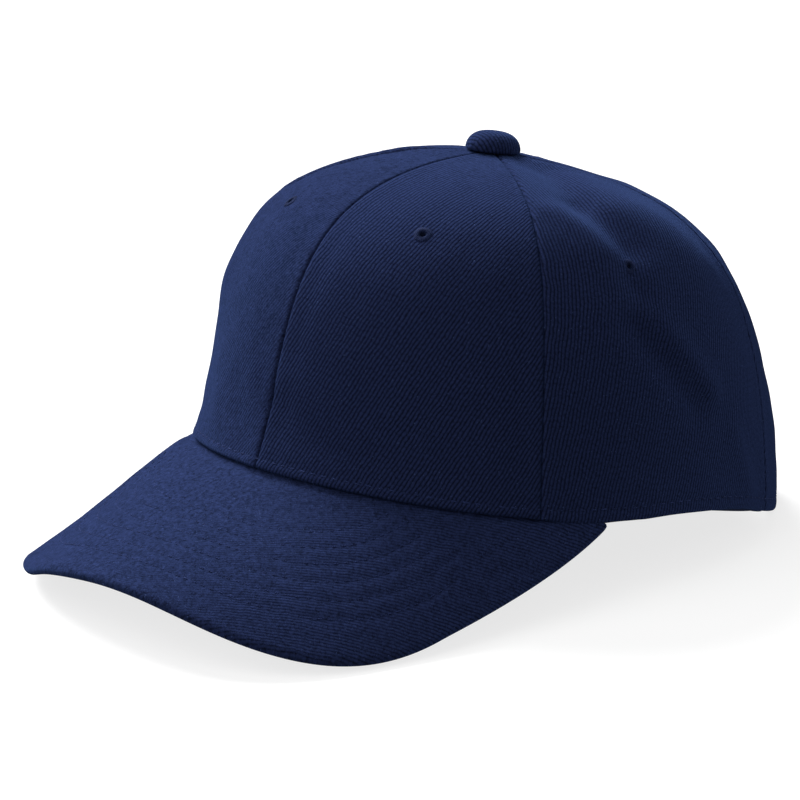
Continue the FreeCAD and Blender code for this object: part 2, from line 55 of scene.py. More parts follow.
TILT = -4.69541
HALF_WIDTH, HALF_LENGTH = 83.2, 99.1
CROWN_HEIGHT, TOP_SHIFT = 118.6, -5.7
LOWER_BULGE = (-0.12, -0.035, -0.03)
LOWER_REACH = (0.613, 0.792, 0.527)
UPPER_WIDTH = (0.859, 0.836, 0.591)
UPPER_REACH = (1.0, 0.961, 0.939)
WAIST, WAIST_PLACE = (2.0, 0.3, 0.0), 0.13
RIM_FRONT, RIM_SIDE, RIM_BACK = 29.7, 7.4, 7.0
BRIM_RADIUS, BRIM_SQUARENESS, BRIM_SLOPE = 118.6, 0.26, 22.7
BRIM_HALF_WIDTH, BRIM_LENGTH, BRIM_CORNER = 89.5, 63.4, -20.0
BRIM_ROUNDNESS, BRIM_END_ANGLE = 2.2, 74.0
BRIM_THICKNESS = 3.1
STITCH_ROWS, STITCH_INSET, STITCH_PITCH = 6, 12.5, 6.0
RIM_STITCH_HEIGHT = 4.4
BAND_END_ANGLE = 145.0
EYELET_PLACES = {"front": (30.0, 0.595), "side": (82.0, 0.48), "back": (150.0, 0.55)}
BUTTON_RADIUS, BUTTON_HEIGHT, BUTTON_BASE, BUTTON_TILT = 8.6, 5.8, 0.5, 5.0
OPENING_HALF_WIDTH, OPENING_HEIGHT = 39.0, 52.0
STRAP_FOOT, STRAP_HEIGHT = 2.6, 22.0
HINGE_X, TAB_END_X, OUTER_TIP_X, INNER_TIP_X, PATCH_START_X = 30.0, 45.5, -25.0, 20.0, 8.0

stitch_noise = np.random.default_rng(7)


# ---------------------------------------------------------------- surfaces

def rotate_x(points, degrees):
    """Points turned about the X axis."""
    turn = math.radians(degrees)
    x, y, z = points[..., 0], points[..., 1], points[..., 2]
    return np.stack([x, y * math.cos(turn) - z * math.sin(turn),
                     y * math.sin(turn) + z * math.cos(turn)], -1)


def find_shift():
    """The shift from the crown's frame to the row frame, in mm, read from the button's washer."""
    low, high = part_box("button_washer")
    middle = np.array((low + high) / 2) * 1000
    pivot = np.array([0.0, TOP_SHIFT, CROWN_HEIGHT - 2.0])
    washer = pivot + rotate_x(np.array([0.0, 0.0, -2.4]), -BUTTON_TILT)
    shift = middle - rotate_x(washer, TILT)
    shift[0] = 0.0
    return shift


SHIFT = find_shift()


def to_row(points):
    """Points of the crown's frame in mm, as points of the row frame in metres."""
    return (rotate_x(np.asarray(points, float), TILT) + SHIFT) / 1000


def harmonic(values, angle):
    """A value that eases round the crown between its front, side and back values."""
    front, side, back = values
    turn = np.radians(angle)
    mean = (front + back) / 4 + side / 2
    return mean + (front - back) / 2 * np.cos(turn) + ((front + back) / 4 - side / 2) * np.cos(2 * turn)


def smooth(value):
    """0 to 1 with soft ends, as value goes from 0 to 1."""
    value = np.clip(value, 0.0, 1.0)
    return value * value * (3 - 2 * value)


def bump(distance, width):
    """A round hill, 1 high where distance is 0."""
    return np.exp(-(distance / width) ** 2)


def running(steps):
    """Sums of steps along the last axis, from 0."""
    return np.concatenate([np.zeros(steps.shape[:-1] + (1,)), np.cumsum(steps, axis=-1)], axis=-1)


def travelled(path):
    """How far along a polyline each of its points is."""
    return running(np.linalg.norm(np.diff(path, axis=0), axis=1))


def bisect(short, low, high, rounds):
    """Narrows low and high, by halves, to the place where short stops being true."""
    for _ in range(rounds):
        middle = (low + high) / 2
        more = short(middle)
        low, high = np.where(more, middle, low), np.where(more, high, middle)
    return low, high


# The brim's arch as tables of distance across its cloth, slope, reach to the side and drop
ARCH_RUN = np.linspace(0.0, 105.0, 2101)
ARCH_SLOPE = ARCH_RUN / BRIM_RADIUS * (1 + BRIM_SQUARENESS * (ARCH_RUN / BRIM_HALF_WIDTH) ** 2)
ARCH_REACH, ARCH_DROP = (running((rate[1:] + rate[:-1]) / 2 * ARCH_RUN[1])
                         for rate in (np.cos(ARCH_SLOPE), np.sin(ARCH_SLOPE)))


def brim_point(across, ahead, depth):
    """A point of the brim: across its arch, ahead of the rim's front, depth below its top face."""
    across, ahead, depth = np.broadcast_arrays(across, ahead, depth)
    sign = np.where(across >= 0, 1.0, -1.0)
    size = np.abs(across)
    slope = sign * np.interp(size, ARCH_RUN, ARCH_SLOPE)
    reach = sign * np.interp(size, ARCH_RUN, ARCH_REACH)
    drop = np.interp(size, ARCH_RUN, ARCH_DROP)
    tilt = math.radians(BRIM_SLOPE)
    normal = np.stack([np.sin(slope) * math.cos(tilt), -np.cos(slope) * math.sin(tilt),
                       np.cos(slope) * math.cos(tilt)], -1)
    normal /= np.linalg.norm(normal, axis=-1, keepdims=True)
    base = np.stack([reach, -HALF_LENGTH - ahead * math.cos(tilt),
                     RIM_FRONT - drop - ahead * math.sin(tilt)], -1)
    return base - normal * depth[..., None]


def brim_inner(angle, inward):
    """Where the brim meets the rim at this angle, as (across, ahead)."""
    turn = np.radians(angle)
    x = (HALF_WIDTH - inward) * np.sin(turn)
    y = -(HALF_LENGTH - inward) * np.cos(turn)
    across = np.sign(x) * np.interp(np.abs(x), ARCH_REACH, ARCH_RUN)
    return across, (-HALF_LENGTH - y) / math.cos(math.radians(BRIM_SLOPE))


def brim_outer(side, inset):
    """The brim's outline at side -1 to 1, drawn in by inset, as (across, ahead)."""
    share = np.sin(side * np.pi / 2)
    rise = np.maximum(0.0, 1 - np.abs(share) ** BRIM_ROUNDNESS) ** (1 / BRIM_ROUNDNESS)
    return (BRIM_HALF_WIDTH - inset) * share, BRIM_CORNER + (BRIM_LENGTH - inset - BRIM_CORNER) * rise


def from_front(angle):
    """How far round from the crown's front an angle is, 0 to 180 on either side."""
    return np.abs((angle + 180.0) % 360.0 - 180.0)


def rim_height(angle):
    """Height of the crown's rim: along the brim's arch in front, nearly level behind it."""
    turn = from_front(angle)
    across, ahead = brim_inner(np.minimum(turn, BRIM_END_ANGLE), 0.0)
    on_brim = brim_point(across, ahead, 0.0)[..., 2]
    past = np.maximum(0.0, (turn - BRIM_END_ANGLE) / (180.0 - BRIM_END_ANGLE))
    ease = np.sin(np.minimum(past * 1.6, 1.0) * np.pi / 2) ** 2
    return on_brim + (RIM_SIDE - on_brim) * ease + (RIM_BACK - RIM_SIDE) * (1 - np.cos(np.pi * past)) / 2


def rim_direction(angle):
    """Direction in plan from the crown's top to the rim, and the distance."""
    turn = np.radians(angle)
    x, y = HALF_WIDTH * np.sin(turn), -HALF_LENGTH * np.cos(turn) - TOP_SHIFT
    size = np.hypot(x, y)
    return x / size, y / size, size


def meridian(angle, part):
    """Radius and height of the outer face at part 0 (rim) to 1 (top), and the slope of both."""
    angle, part = np.broadcast_arrays(np.asarray(angle, float), np.asarray(part, float))
    rim_radius = rim_direction(angle)[2]
    foot = rim_height(angle)
    rise = CROWN_HEIGHT - foot
    radii = (rim_radius, rim_radius * (1 + harmonic(LOWER_BULGE, angle)),
             rim_radius * harmonic(UPPER_WIDTH, angle), 0.0 * rim_radius)
    heights = (foot, foot + rise * harmonic(LOWER_REACH, angle),
               foot + rise * harmonic(UPPER_REACH, angle), CROWN_HEIGHT + 0.0 * foot)
    rest = 1 - part
    weights = (rest ** 3, 3 * part * rest ** 2, 3 * part ** 2 * rest, part ** 3)
    slopes = (-3 * rest ** 2, 3 * rest ** 2 - 6 * part * rest, 6 * part * rest - 3 * part ** 2, 3 * part ** 2)
    radius, height, turn_in, climb = (
        sum(w * v for w, v in zip(ws, vs))
        for ws, vs in ((weights, radii), (weights, heights), (slopes, radii), (slopes, heights)))
    waist = harmonic(WAIST, angle)
    share = part / WAIST_PLACE
    radius = radius - waist * share * np.exp(1 - share)
    turn_in = turn_in - waist * (1 - share) * np.exp(1 - share) / WAIST_PLACE
    return radius, height, turn_in, climb


def crown_point(angle, part, depth):
    """A point of the crown, depth inside its outer face."""
    angle, part, depth = np.broadcast_arrays(
        np.asarray(angle, float), np.asarray(part, float), np.asarray(depth, float))
    plan_x, plan_y, _ = rim_direction(angle)
    radius, height, turn_in, climb = meridian(angle, part)
    size = np.hypot(turn_in, climb)
    radius = radius - depth * climb / size
    height = height + depth * turn_in / size
    return np.stack([plan_x * radius, TOP_SHIFT + plan_y * radius, height], -1)


PARTS = np.linspace(0.0, 1.0, 161)


def cloth_lengths(angle):
    """How far up the cloth each of PARTS is from the rim, one row for each angle."""
    radius, height, _, _ = meridian(np.asarray(angle, float)[:, None], PARTS[None, :])
    return running(np.hypot(np.diff(radius, axis=1), np.diff(height, axis=1)))


ANGLE_STEP = 0.5
LENGTH_TABLE = cloth_lengths(np.arange(0.0, 360.0 + ANGLE_STEP, ANGLE_STEP))


def length_at(angle, part):
    """How far up the cloth from the rim this part of the outline is."""
    row = (angle % 360.0) / ANGLE_STEP
    low_row = np.minimum(row.astype(int), len(LENGTH_TABLE) - 2)
    column = part * (len(PARTS) - 1)
    low_column = np.minimum(column.astype(int), len(PARTS) - 2)
    row, column = row - low_row, column - low_column
    low = LENGTH_TABLE[low_row, low_column] * (1 - column) + LENGTH_TABLE[low_row, low_column + 1] * column
    low_row = low_row + 1
    high = LENGTH_TABLE[low_row, low_column] * (1 - column) + LENGTH_TABLE[low_row, low_column + 1] * column
    return low * (1 - row) + high * row


def part_at(angle, length):
    """The part of the outline that lies this far above the rim, along the cloth."""
    angle, length = np.broadcast_arrays(np.asarray(angle, float), np.asarray(length, float))
    low, high = np.zeros(angle.shape), np.ones(angle.shape)
    return sum(bisect(lambda part: length_at(angle, part) < length, low, high, 22)) / 2


def crown_normal(angle, part):
    """The direction out of the crown's outer face."""
    here = crown_point(angle, part, 0.0)
    around = crown_point(np.asarray(angle) + 0.5, part, 0.0) - here
    upwards = crown_point(angle, np.minimum(np.asarray(part) + 0.005, 1.0), 0.0) - here
    normal = np.cross(around, upwards)
    return normal / np.linalg.norm(normal, axis=-1, keepdims=True)


def back_place(x, height):
    """Angle and part of the outer face, at x across the back and this high up the cloth."""
    x, height = np.broadcast_arrays(np.asarray(x, float), np.asarray(height, float))
    angle = 180.0 - np.degrees(np.arcsin(x / HALF_WIDTH))
    for _ in range(7):
        part = part_at(angle, height)
        point = crown_point(angle, part, 0.0)
        angle = angle + np.degrees((point[..., 0] - x) / np.hypot(point[..., 0], point[..., 1]))
    return angle, part_at(angle, height)


def back_point(x, height, depth):
    """The point at x across the back, this high up the cloth and depth inside its outer face."""
    angle, part = back_place(x, height)
    return crown_point(angle, part, depth)


def at_back(x, z, depth):
    """The point of the back that shows at this x and z when looked at along Y."""
    x, z, depth = np.broadcast_arrays(*(np.asarray(v, float) for v in (x, z, depth)))
    height = z - RIM_BACK
    for _ in range(6):
        point = back_point(x, np.maximum(0.05, height), 0.0)
        height = height + z - point[..., 2]
    return back_point(x, np.maximum(0.05, height), depth)


# --------------------------------------------------------------- mesh making

def link_object(name, data):
    """A new object in the scene."""
    made = bpy.data.objects.new(name, data)
    bpy.context.scene.collection.objects.link(made)
    return made


def link_mesh(name, points, faces, weave=None):
    """A smooth-shaded mesh object at the origin, from points of the crown's frame in mm.

    weave is stored as a point attribute: along the cloth in mm (two values) and a wear mask."""
    mesh = bpy.data.meshes.new(name)
    mesh.from_pydata(to_row(points).reshape(-1, 3).tolist(), [], faces)
    if weave is not None:
        layer = mesh.attributes.new("weave", "FLOAT_VECTOR", "POINT")
        layer.data.foreach_set("vector", np.asarray(weave, np.float32).ravel())
    mesh.polygons.foreach_set("use_smooth", [True] * len(mesh.polygons))
    mesh.validate()
    mesh.update()
    # a closed mesh that encloses less than nothing has its faces turned inside out
    mesh.calc_loop_triangles()
    corners = np.empty(3 * len(mesh.loop_triangles), np.int32)
    mesh.loop_triangles.foreach_get("vertices", corners)
    places = np.empty(3 * len(mesh.vertices), np.float32)
    mesh.vertices.foreach_get("co", places)
    a, b, c = places.reshape(-1, 3)[corners.reshape(-1, 3)].transpose(1, 0, 2)
    if (a * np.cross(b, c)).sum() < 0:
        mesh.flip_normals()
    return link_object(name, mesh)


def finish_piece(made, material, slot, nodes=(), bodies=("crown",), hinge=None):
    """Material, body and replaced nodes of a piece; slot and hinge are not used. With two bodies it is only baked
    in place.
    """
    made.data.materials.append(material)
    if len(bodies) == 1:
        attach(made, bodies[0])
    else:
        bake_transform(made)
    if nodes:
        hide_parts(*nodes)


def bridge(low, high, columns):
    """Faces between two closed rings of points, from each ring's first point."""
    return [(low + c, low + (c + 1) % columns, high + (c + 1) % columns, high + c) for c in range(columns)]


def ring_faces(rows, columns, first=0):
    """Faces between closed rings of points that are numbered ring by ring."""
    faces = []
    for r in range(rows - 1):
        faces += bridge(first + r * columns, first + (r + 1) * columns, columns)
    return faces


def strip_faces(rows, columns, first=0, flip=False):
    """Faces of a closed strip of rings of points, with both ends capped."""
    last = first + (rows - 1) * columns
    faces = ring_faces(rows, columns, first)
    faces += [tuple(range(first, first + columns))[::-1], tuple(range(last, last + columns))]
    return [face[::-1] for face in faces] if flip else faces


def shell_piece(name, outer, inner, closed, cloth):
    """A mesh object of the closed shell between two grids, left open at the cells marked closed."""
    rows, columns = outer.shape[:2]
    count = rows * columns
    number = np.arange(count).reshape(rows, columns)
    faces = []
    edges = {}
    for r, c in zip(*np.nonzero(~closed)):
        loop = tuple(int(v) for v in (number[r, c], number[r, c + 1], number[r + 1, c + 1], number[r + 1, c]))
        faces += [loop, tuple(v + count for v in loop[::-1])]
        for a, b in zip(loop, loop[1:] + loop[:1]):
            if (b, a) in edges:
                del edges[(b, a)]
            else:
                edges[(a, b)] = True
    faces += [(b, a, a + count, b + count) for a, b in edges]
    used = np.unique(np.concatenate(faces))
    renumber = -np.ones(2 * count, int)
    renumber[used] = np.arange(len(used))
    faces = [tuple(int(renumber[v]) for v in face) for face in faces]
    points = np.concatenate([outer.reshape(-1, 3), inner.reshape(-1, 3)])
    weave = np.stack(cloth, -1).reshape(-1, 3)
    return link_mesh(name, points[used], faces, np.concatenate([weave, weave])[used])


def strip_piece(name, stations, cloth, flip=False):
    """A mesh object of a closed strip; cloth holds its values along, across and of wear."""
    weave = np.zeros(stations.shape)
    for axis, value in enumerate(cloth):
        weave[..., axis] = value
    return link_mesh(name, stations, strip_faces(*stations.shape[:2], flip=flip), weave)


def strip_loop(half, top, bottom, count, rounding=5):
    """A closed profile of offsets across and depths, flat on both faces with rounded edges."""
    radius = (bottom - top) / 2
    flat = np.linspace(-half + radius, half - radius, count)
    turn = np.linspace(0, np.pi, rounding + 2)[1:-1]
    right = (half - radius + radius * np.sin(turn), top + radius - radius * np.cos(turn))
    offset = np.concatenate([flat, right[0], flat[::-1], -right[0]])
    depth = np.concatenate([flat * 0 + top, right[1], flat * 0 + bottom, right[1][::-1]])
    return offset, depth


def resample(path, pitch):
    """Places along a polyline at an even pitch: the fractional indices of the path's points."""
    run = travelled(path)
    count = max(2, int(round(run[-1] / pitch)))
    wanted = np.linspace(0.0, run[-1], count + 1)
    wanted = (wanted[1:] + wanted[:-1]) / 2
    return np.interp(wanted, run, np.arange(len(path)))


def between(values, places):
    """Rows of values at fractional indices."""
    low = np.clip(np.floor(places).astype(int), 0, len(values) - 2)
    share = (places - low)[:, None]
    return values[low] * (1 - share) + values[low + 1] * share


def stitch_mesh(paths, length, radius, pitch, sink=0.12, lift=0.1):
    """Points, faces and cloth coordinates of single stitches along paths of (points, normals).

    Each stitch sinks into the cloth at its ends and lifts off it in the middle."""
    rings, sides = 7, 6
    spot = np.linspace(-1, 1, rings)
    girth = radius * np.sqrt(np.maximum(0.0, 1 - np.abs(spot) ** 4 * 0.9))
    rise = lift * (1 - spot ** 2) - sink * np.abs(spot) ** 3
    around = np.linspace(0, 2 * np.pi, sides, endpoint=False)
    all_points, all_faces, all_weave = [], [], []
    total = 0
    for path, normals in paths:
        places = resample(path, pitch)
        centre = between(path, places)
        normal = between(normals, places)
        normal /= np.linalg.norm(normal, axis=1, keepdims=True)
        past, before = np.minimum(places + 0.3, len(path) - 1), np.maximum(places - 0.3, 0)
        ahead = between(path, past) - between(path, before)
        ahead -= normal * np.sum(ahead * normal, axis=1, keepdims=True)
        ahead /= np.linalg.norm(ahead, axis=1, keepdims=True)
        across = np.cross(normal, ahead)
        wobble = stitch_noise.normal(0, 1, (len(centre), 3))
        ahead = ahead + across * wobble[:, :1] * 0.05
        centre = centre + across * wobble[:, 1:2] * 0.04
        size = (length * (1 + wobble[:, 2:3] * 0.05)) / 2
        body = (centre[:, None, None, :]
                + ahead[:, None, None, :] * (spot[None, :, None, None] * size[:, None, None, :])
                + normal[:, None, None, :] * (rise[None, :, None, None])
                + across[:, None, None, :] * (girth[:, None] * np.cos(around))[None, :, :, None]
                + normal[:, None, None, :] * (girth[:, None] * np.sin(around) * 0.8)[None, :, :, None])
        for k in range(len(centre)):
            all_faces += strip_faces(rings, sides, total + k * rings * sides, flip=True)
        weave = np.zeros(body.shape)
        weave[..., 0] = spot[None, :, None] * length / 2
        weave[..., 1] = around[None, None, :] * radius
        weave[..., 2] = stitch_noise.random(len(centre))[:, None, None]
        all_points.append(body.reshape(-1, 3))
        all_weave.append(weave.reshape(-1, 3))
        total += len(centre) * rings * sides
    return np.concatenate(all_points), all_faces, np.concatenate(all_weave)


# Length, radius and pitch of each kind of stitch, and how far its ends sink and its middle lifts
STITCHES = {
    "seam_tape": (2.2, 0.16, 3.0), "rim": (2.5, 0.22, 3.6, 0.3, 0.12), "sweatband": (2.5, 0.22, 3.6, 0.3, 0.12),
    "brim": (2.1, 0.14, 3.0, 0.22, 0.06), "binding": (2.0, 0.16, 2.8),
    "outer_strap": (2.1, 0.15, 2.9), "inner_strap": (2.1, 0.15, 2.9),
}


def stitches(kind, paths, material, *finish):
    """Makes the piece with all stitches of one kind; finish holds its nodes, bodies and hinge."""
    points, faces, weave = stitch_mesh(paths, *STITCHES[kind])
    finish_piece(link_mesh(f"{kind}_stitches", points, faces, weave), material, "thread", *finish)


# ----------------------------------------------------------------- materials

BLOOM, BLOOM_TINT = 0.1, (0.2, 0.38, 1.0)


class Value:
    """An output of a shader's nodes, which can be added to, multiplied and made positive."""

    def __init__(self, shader, socket):
        self.shader, self.socket = shader, socket

    def __add__(self, other):
        return self.shader.math("ADD", self, other)

    def __sub__(self, number):
        return self + -number

    def __mul__(self, other):
        return self.shader.math("MULTIPLY", self, other)

    def __abs__(self):
        return self.shader.math("ABSOLUTE", self)


class Shader:
    """Builds one material node by node. Cloth patterns are worked out in mm."""

    def __init__(self, name, roughness, specular, sheen=0.0, sheen_tint=BLOOM_TINT, metallic=0.0):
        self.material = bpy.data.materials.new(name)
        self.material.use_nodes = True
        self.nodes = self.material.node_tree.nodes
        self.links = self.material.node_tree.links
        self.shader = self.nodes["Principled BSDF"]
        for socket, value in (("Roughness", roughness), ("Sheen Weight", sheen), ("Sheen Roughness", 0.5),
                              ("Sheen Tint", (*sheen_tint, 1)), ("Specular IOR Level", specular),
                              ("Metallic", metallic)):
            self.shader.inputs[socket].default_value = value

    def node(self, kind, values=(), **settings):
        """Adds a node with these settings and these values for its first inputs."""
        made = self.nodes.new("ShaderNode" + kind)
        for key, value in settings.items():
            setattr(made, key, value)
        for socket, value in zip(made.inputs, values):
            self.put(socket, value)
        return made

    def put(self, socket, value):
        """Links a value to a socket, or sets the socket to a constant."""
        if isinstance(value, Value):
            self.links.new(value.socket, socket)
        elif hasattr(socket.default_value, "__len__") and not hasattr(value, "__len__"):
            socket.default_value = [value] * len(socket.default_value)
        else:
            socket.default_value = value

    def out(self, made, name=0):
        return Value(self, made.outputs[name])

    def math(self, operation, *values, clamp=False):
        return self.out(self.node("Math", values, operation=operation, use_clamp=clamp))

    def sine(self, value):
        return self.math("SINE", value)

    def floor(self, value):
        return self.math("FLOOR", value)

    def fract(self, value):
        return self.math("FRACT", value)

    def ramp(self, value, low, high, to_low=0.0, to_high=1.0):
        """A soft step: to_low where value is under low, to_high where it is over high."""
        values = (value, low, high, to_low, to_high)
        return self.out(self.node("MapRange", values, interpolation_type="SMOOTHSTEP"))

    def noise(self, vector, scale, detail=2.0, roughness=0.5):
        made = self.node("TexNoise")
        for socket, value in zip(("Vector", "Scale", "Detail", "Roughness"), (vector, scale, detail, roughness)):
            self.put(made.inputs[socket], value)
        return self.out(made, "Fac")

    def weave(self):
        """The cloth's own coordinates: the vector, along, across and the wear mask."""
        place = self.out(self.node("Attribute", attribute_name="weave", attribute_type="GEOMETRY"), "Vector")
        split = self.node("SeparateXYZ", (place,))
        return place, self.out(split, 0), self.out(split, 1), self.out(split, 2)

    def mix(self, share, a, b):
        """Colour a changed into colour b by share."""
        made = self.node("Mix", data_type="RGBA")
        for socket, value in zip([s for s in made.inputs if s.enabled], (share, a, b)):
            self.put(socket, value)
        return Value(self, [s for s in made.outputs if s.enabled][0])

    def finish(self, colour, height=None, distance=0.0002, strength=1.0, roughness=None):
        """Gives the surface its colour, and its bump from height, and returns the material."""
        self.put(self.shader.inputs["Base Color"], colour)
        if roughness is not None:
            self.put(self.shader.inputs["Roughness"], roughness)
        if height is not None:
            bumped = self.node("Bump")
            for socket, value in (("Strength", strength), ("Distance", distance), ("Height", height)):
                self.put(bumped.inputs[socket], value)
            self.put(self.shader.inputs["Normal"], self.out(bumped))
        return self.material


def rgb(red, green, blue):
    """A linear colour with alpha from sRGB values of 0 to 255."""
    return tuple(((v / 255 + 0.055) / 1.055) ** 2.4 if v > 10 else v / 255 / 12.92
                 for v in (red, green, blue)) + (1.0,)


NAVY_DEEP, NAVY, NAVY_WORN = rgb(9, 11, 22), rgb(35, 44, 78), rgb(48, 63, 110)
LINT = rgb(72, 88, 132)


def twill(name, heading, pitch=1.14, relief=0.00016, worn=0.3):
    """Brushed cotton twill: broken diagonal wales at heading degrees from across the cloth.

    The weave attribute's third value fades the wales into brushed nap where it nears 1."""
    s = Shader(name, roughness=0.92, sheen=BLOOM, specular=0.0)
    place, u, v, nap = s.weave()
    turn = math.radians(heading)
    drift = (s.noise(place, 0.16, 2.0) - 0.5) * 1.1
    across = u * (-math.sin(turn) / pitch) + v * (math.cos(turn) / pitch) + drift
    run = u * math.cos(turn) + v * math.sin(turn)
    index = s.floor(across)
    wale = s.fract(across)
    ridge = s.math("POWER", s.sine(wale * math.pi), 0.75)
    shuffled = s.fract(s.sine(index * 12.9898) * 43.7)
    jitter = shuffled + s.noise(place, 0.9, 2.0) * 0.9
    dash = s.fract(run * (1 / 1.9) + jitter)
    float_shape = s.ramp(abs(dash - 0.5), 0.5, 0.32, 0.68, 1.0)
    wales = ridge * float_shape
    patch = s.noise(place, 0.055, 3.0, 0.6)
    fuzz = s.noise(place, 2.6, 3.0, 0.7)
    lint = s.noise(place, 1.1, 2.0, 0.6)
    felt = s.noise(place, 0.75, 4.0, 0.75) - 0.5
    faded = s.math("ADD", nap, (patch - 0.5) * 1.1, clamp=True)
    clear = s.ramp(faded, 0.15, 0.95, 1.0, 0.16)
    felt = felt * (faded * 2.2 + 0.4)
    height = wales * clear + fuzz * 0.55 + felt * 1.6
    shade = (wales - 0.55) * clear * 0.75 + (fuzz - 0.5) * 0.75
    shade = shade + (lint - 0.5) * 0.6 + felt * 0.9
    shade = shade + 0.42 + faded * 0.1
    colour = s.mix(s.ramp(shade, -0.15, 1.1), NAVY_DEEP, NAVY)
    flecks = s.ramp(s.noise(place, 3.4, 2.0, 0.6), 0.62, 0.74) * worn
    dust = s.ramp(s.noise(place, 1.9, 1.0, 0.5), 0.72, 0.78) * 0.55
    colour = s.mix(s.math("ADD", flecks, s.ramp(shade, 0.8, 1.3) * worn, clamp=True), colour, NAVY_WORN)
    colour = s.mix(dust, colour, LINT)
    return s.finish(colour, height, relief)


def plain_cloth(name, dark, light, pitch, herring=0.0):
    """Plain-woven cotton: over and under threads both ways, with slubs."""
    s = Shader(name, roughness=0.9, sheen=BLOOM, specular=0.03)
    place, u, v, nap = s.weave()
    wobble = (s.noise(place, 0.5, 2.0) - 0.5) * 0.6
    a = (u + v * herring) * (math.pi / pitch)
    b = (v + u * -herring) * (math.pi / pitch)
    a, b = a + wobble, b + wobble
    over = s.sine(a) * s.sine(b)
    threads = abs(s.sine(a)) + abs(s.sine(b))
    slub = s.noise(place, 0.35, 4.0, 0.65)
    fuzz = s.noise(place, 3.0, 3.0, 0.7)
    height = over * 0.5 + threads * 0.35 + fuzz * 0.4
    shade = threads * 0.3 + (over * 0.12 + slub * 0.55)
    colour = s.mix(s.ramp(shade + nap * -0.35, 0.2, 1.0), dark, light)
    return s.finish(colour, height, 0.00008)


def thread_material(name, dark, light):
    """Twisted cotton thread with fine spiral plies."""
    s = Shader(name, roughness=0.8, sheen=BLOOM, specular=0.03)
    place, u, v, tone = s.weave()
    ply = s.sine(u * 9.0 + v * 14.0)
    fuzz = s.noise(place, 6.0, 2.0)
    shade = ply * 0.25 + fuzz * 0.5 + tone * 0.35
    return s.finish(s.mix(s.ramp(shade, 0.1, 0.9), dark, light), ply + fuzz, 0.00006)


def gauze(name):
    """Resin-stiffened buckram: an open net of threads with film between them."""
    s = Shader(name, roughness=0.55, specular=0.45, sheen=BLOOM, sheen_tint=(1, 1, 1))
    place, u, v, _ = s.weave()
    warp = (s.noise(place, 0.4, 2.0) - 0.5) * 0.5
    lines = []
    for value in (u, v):
        wave = abs(s.sine(value * (math.pi / 0.9) + warp))
        lines.append(s.ramp(wave, 0.25, 0.8))
    net = s.math("MAXIMUM", lines[0], lines[1])
    film = s.noise(place, 0.25, 4.0, 0.6)
    shade = net * 0.7 + film * 0.4
    return s.finish(s.mix(s.ramp(shade, 0.1, 1.0), rgb(24, 26, 34), rgb(70, 74, 88)), net, 0.00012)


def fleece(name, dark, light, scale=1.6, relief=0.0003):
    """Felted or looped fibres."""
    s = Shader(name, roughness=0.95, sheen=0.15, specular=0.05)
    place = s.weave()[0]
    clumps = s.noise(place, scale, 4.0, 0.75)
    hairs = s.noise(place, scale * 4, 3.0, 0.7)
    shade = clumps * 0.7 + hairs * 0.5
    return s.finish(s.mix(s.ramp(shade, 0.35, 0.85), dark, light), shade, relief)


def hooks(name):
    """Woven nylon tape set with rows of small hooks."""
    s = Shader(name, roughness=0.5, specular=0.12)
    place, u, v, _ = s.weave()
    row = abs(s.sine(u * (math.pi / 0.8)))
    stagger = s.floor(u * (1 / 0.8)) * 1.6
    dot = abs(s.sine(v * (math.pi / 0.7) + stagger))
    pins = s.ramp(row, 0.35, 0.9) * s.ramp(dot, 0.3, 0.9)
    stray = s.noise(place, 1.5, 2.0)
    colour = s.mix(s.ramp(pins + stray * 0.4, 0.1, 1.2), rgb(9, 11, 20), rgb(52, 62, 96))
    return s.finish(colour, pins, 0.0004)


def steel(name, dark, light, roughness):
    """Pressed metal: fine turning marks and faint stains."""
    s = Shader(name, roughness=roughness, metallic=1.0, specular=0.5)
    place = s.out(s.node("TexCoord"), "Object")
    stain = s.noise(place, 900.0, 4.0, 0.6)
    marks = s.noise(place, 5200.0, 2.0)
    rough = stain * 0.25 + (roughness - 0.1)
    return s.finish(s.mix(s.ramp(stain, 0.3, 0.7), dark, light), marks, 0.00002, 0.5, rough)


def board(name):
    """Moulded fibre board with pressed flakes."""
    s = Shader(name, roughness=0.7, specular=0.3)
    place = s.out(s.node("TexCoord"), "Object")
    flakes = s.noise(place, 700.0, 5.0, 0.7)
    grain = s.noise(place, 3000.0, 2.0)
    colour = s.mix(s.ramp(flakes, 0.3, 0.7), rgb(52, 52, 56), rgb(104, 104, 108))
    return s.finish(colour, flakes + grain, 0.00008)


# -------------------------------------------------------------- crown panels

PANEL_FOOT, BRIM_GAP, PANEL_TOP, PANEL_THICKNESS = 0.6, 1.3, 0.985, 0.8
EYELET_CLEAR, EYELET_REACH, EYELET_STEP = 1.45, 2.0, 0.5
HEM_RADIUS, HEM_END = 0.8, 9.0
ANGLES_ACROSS = 61
SEAM_DISTANCES = np.array([0.0, 0.22, 0.45, 0.72, 1.05, 1.45, 1.95, 2.6, 3.5, 4.8, 6.5])
HEM_ROWS = np.array([0.0, 0.1, 0.25, 0.45, 0.8, 1.2, 1.7, 2.3, 2.9, 3.4, 3.8, 4.2, 4.7, 5.4, 6.4, 7.6, 9.0])


def hem_lift(angle):
    """How far the worn hem wanders up from an even line along the crown's sides."""
    turn = from_front(angle)
    return 2.3 * bump(turn - 108.0, 16.0) - 0.9 * bump(turn - 79.0, 7.0) - 1.1 * bump(turn - 137.0, 9.0)


def panel_foot(angle):
    """How far the hem stands above the rim: a little more where it hangs over the brim."""
    turn = from_front(angle)
    over_brim = BRIM_GAP * smooth((BRIM_END_ANGLE - 6.0 - turn) / 12.0)
    over_brim = over_brim * smooth(((angle + 180.0) % 360.0 - 130.0) / 22.0)
    return PANEL_FOOT + over_brim - 0.4 * bump(turn - 71.0, 4.5) + hem_lift(angle)


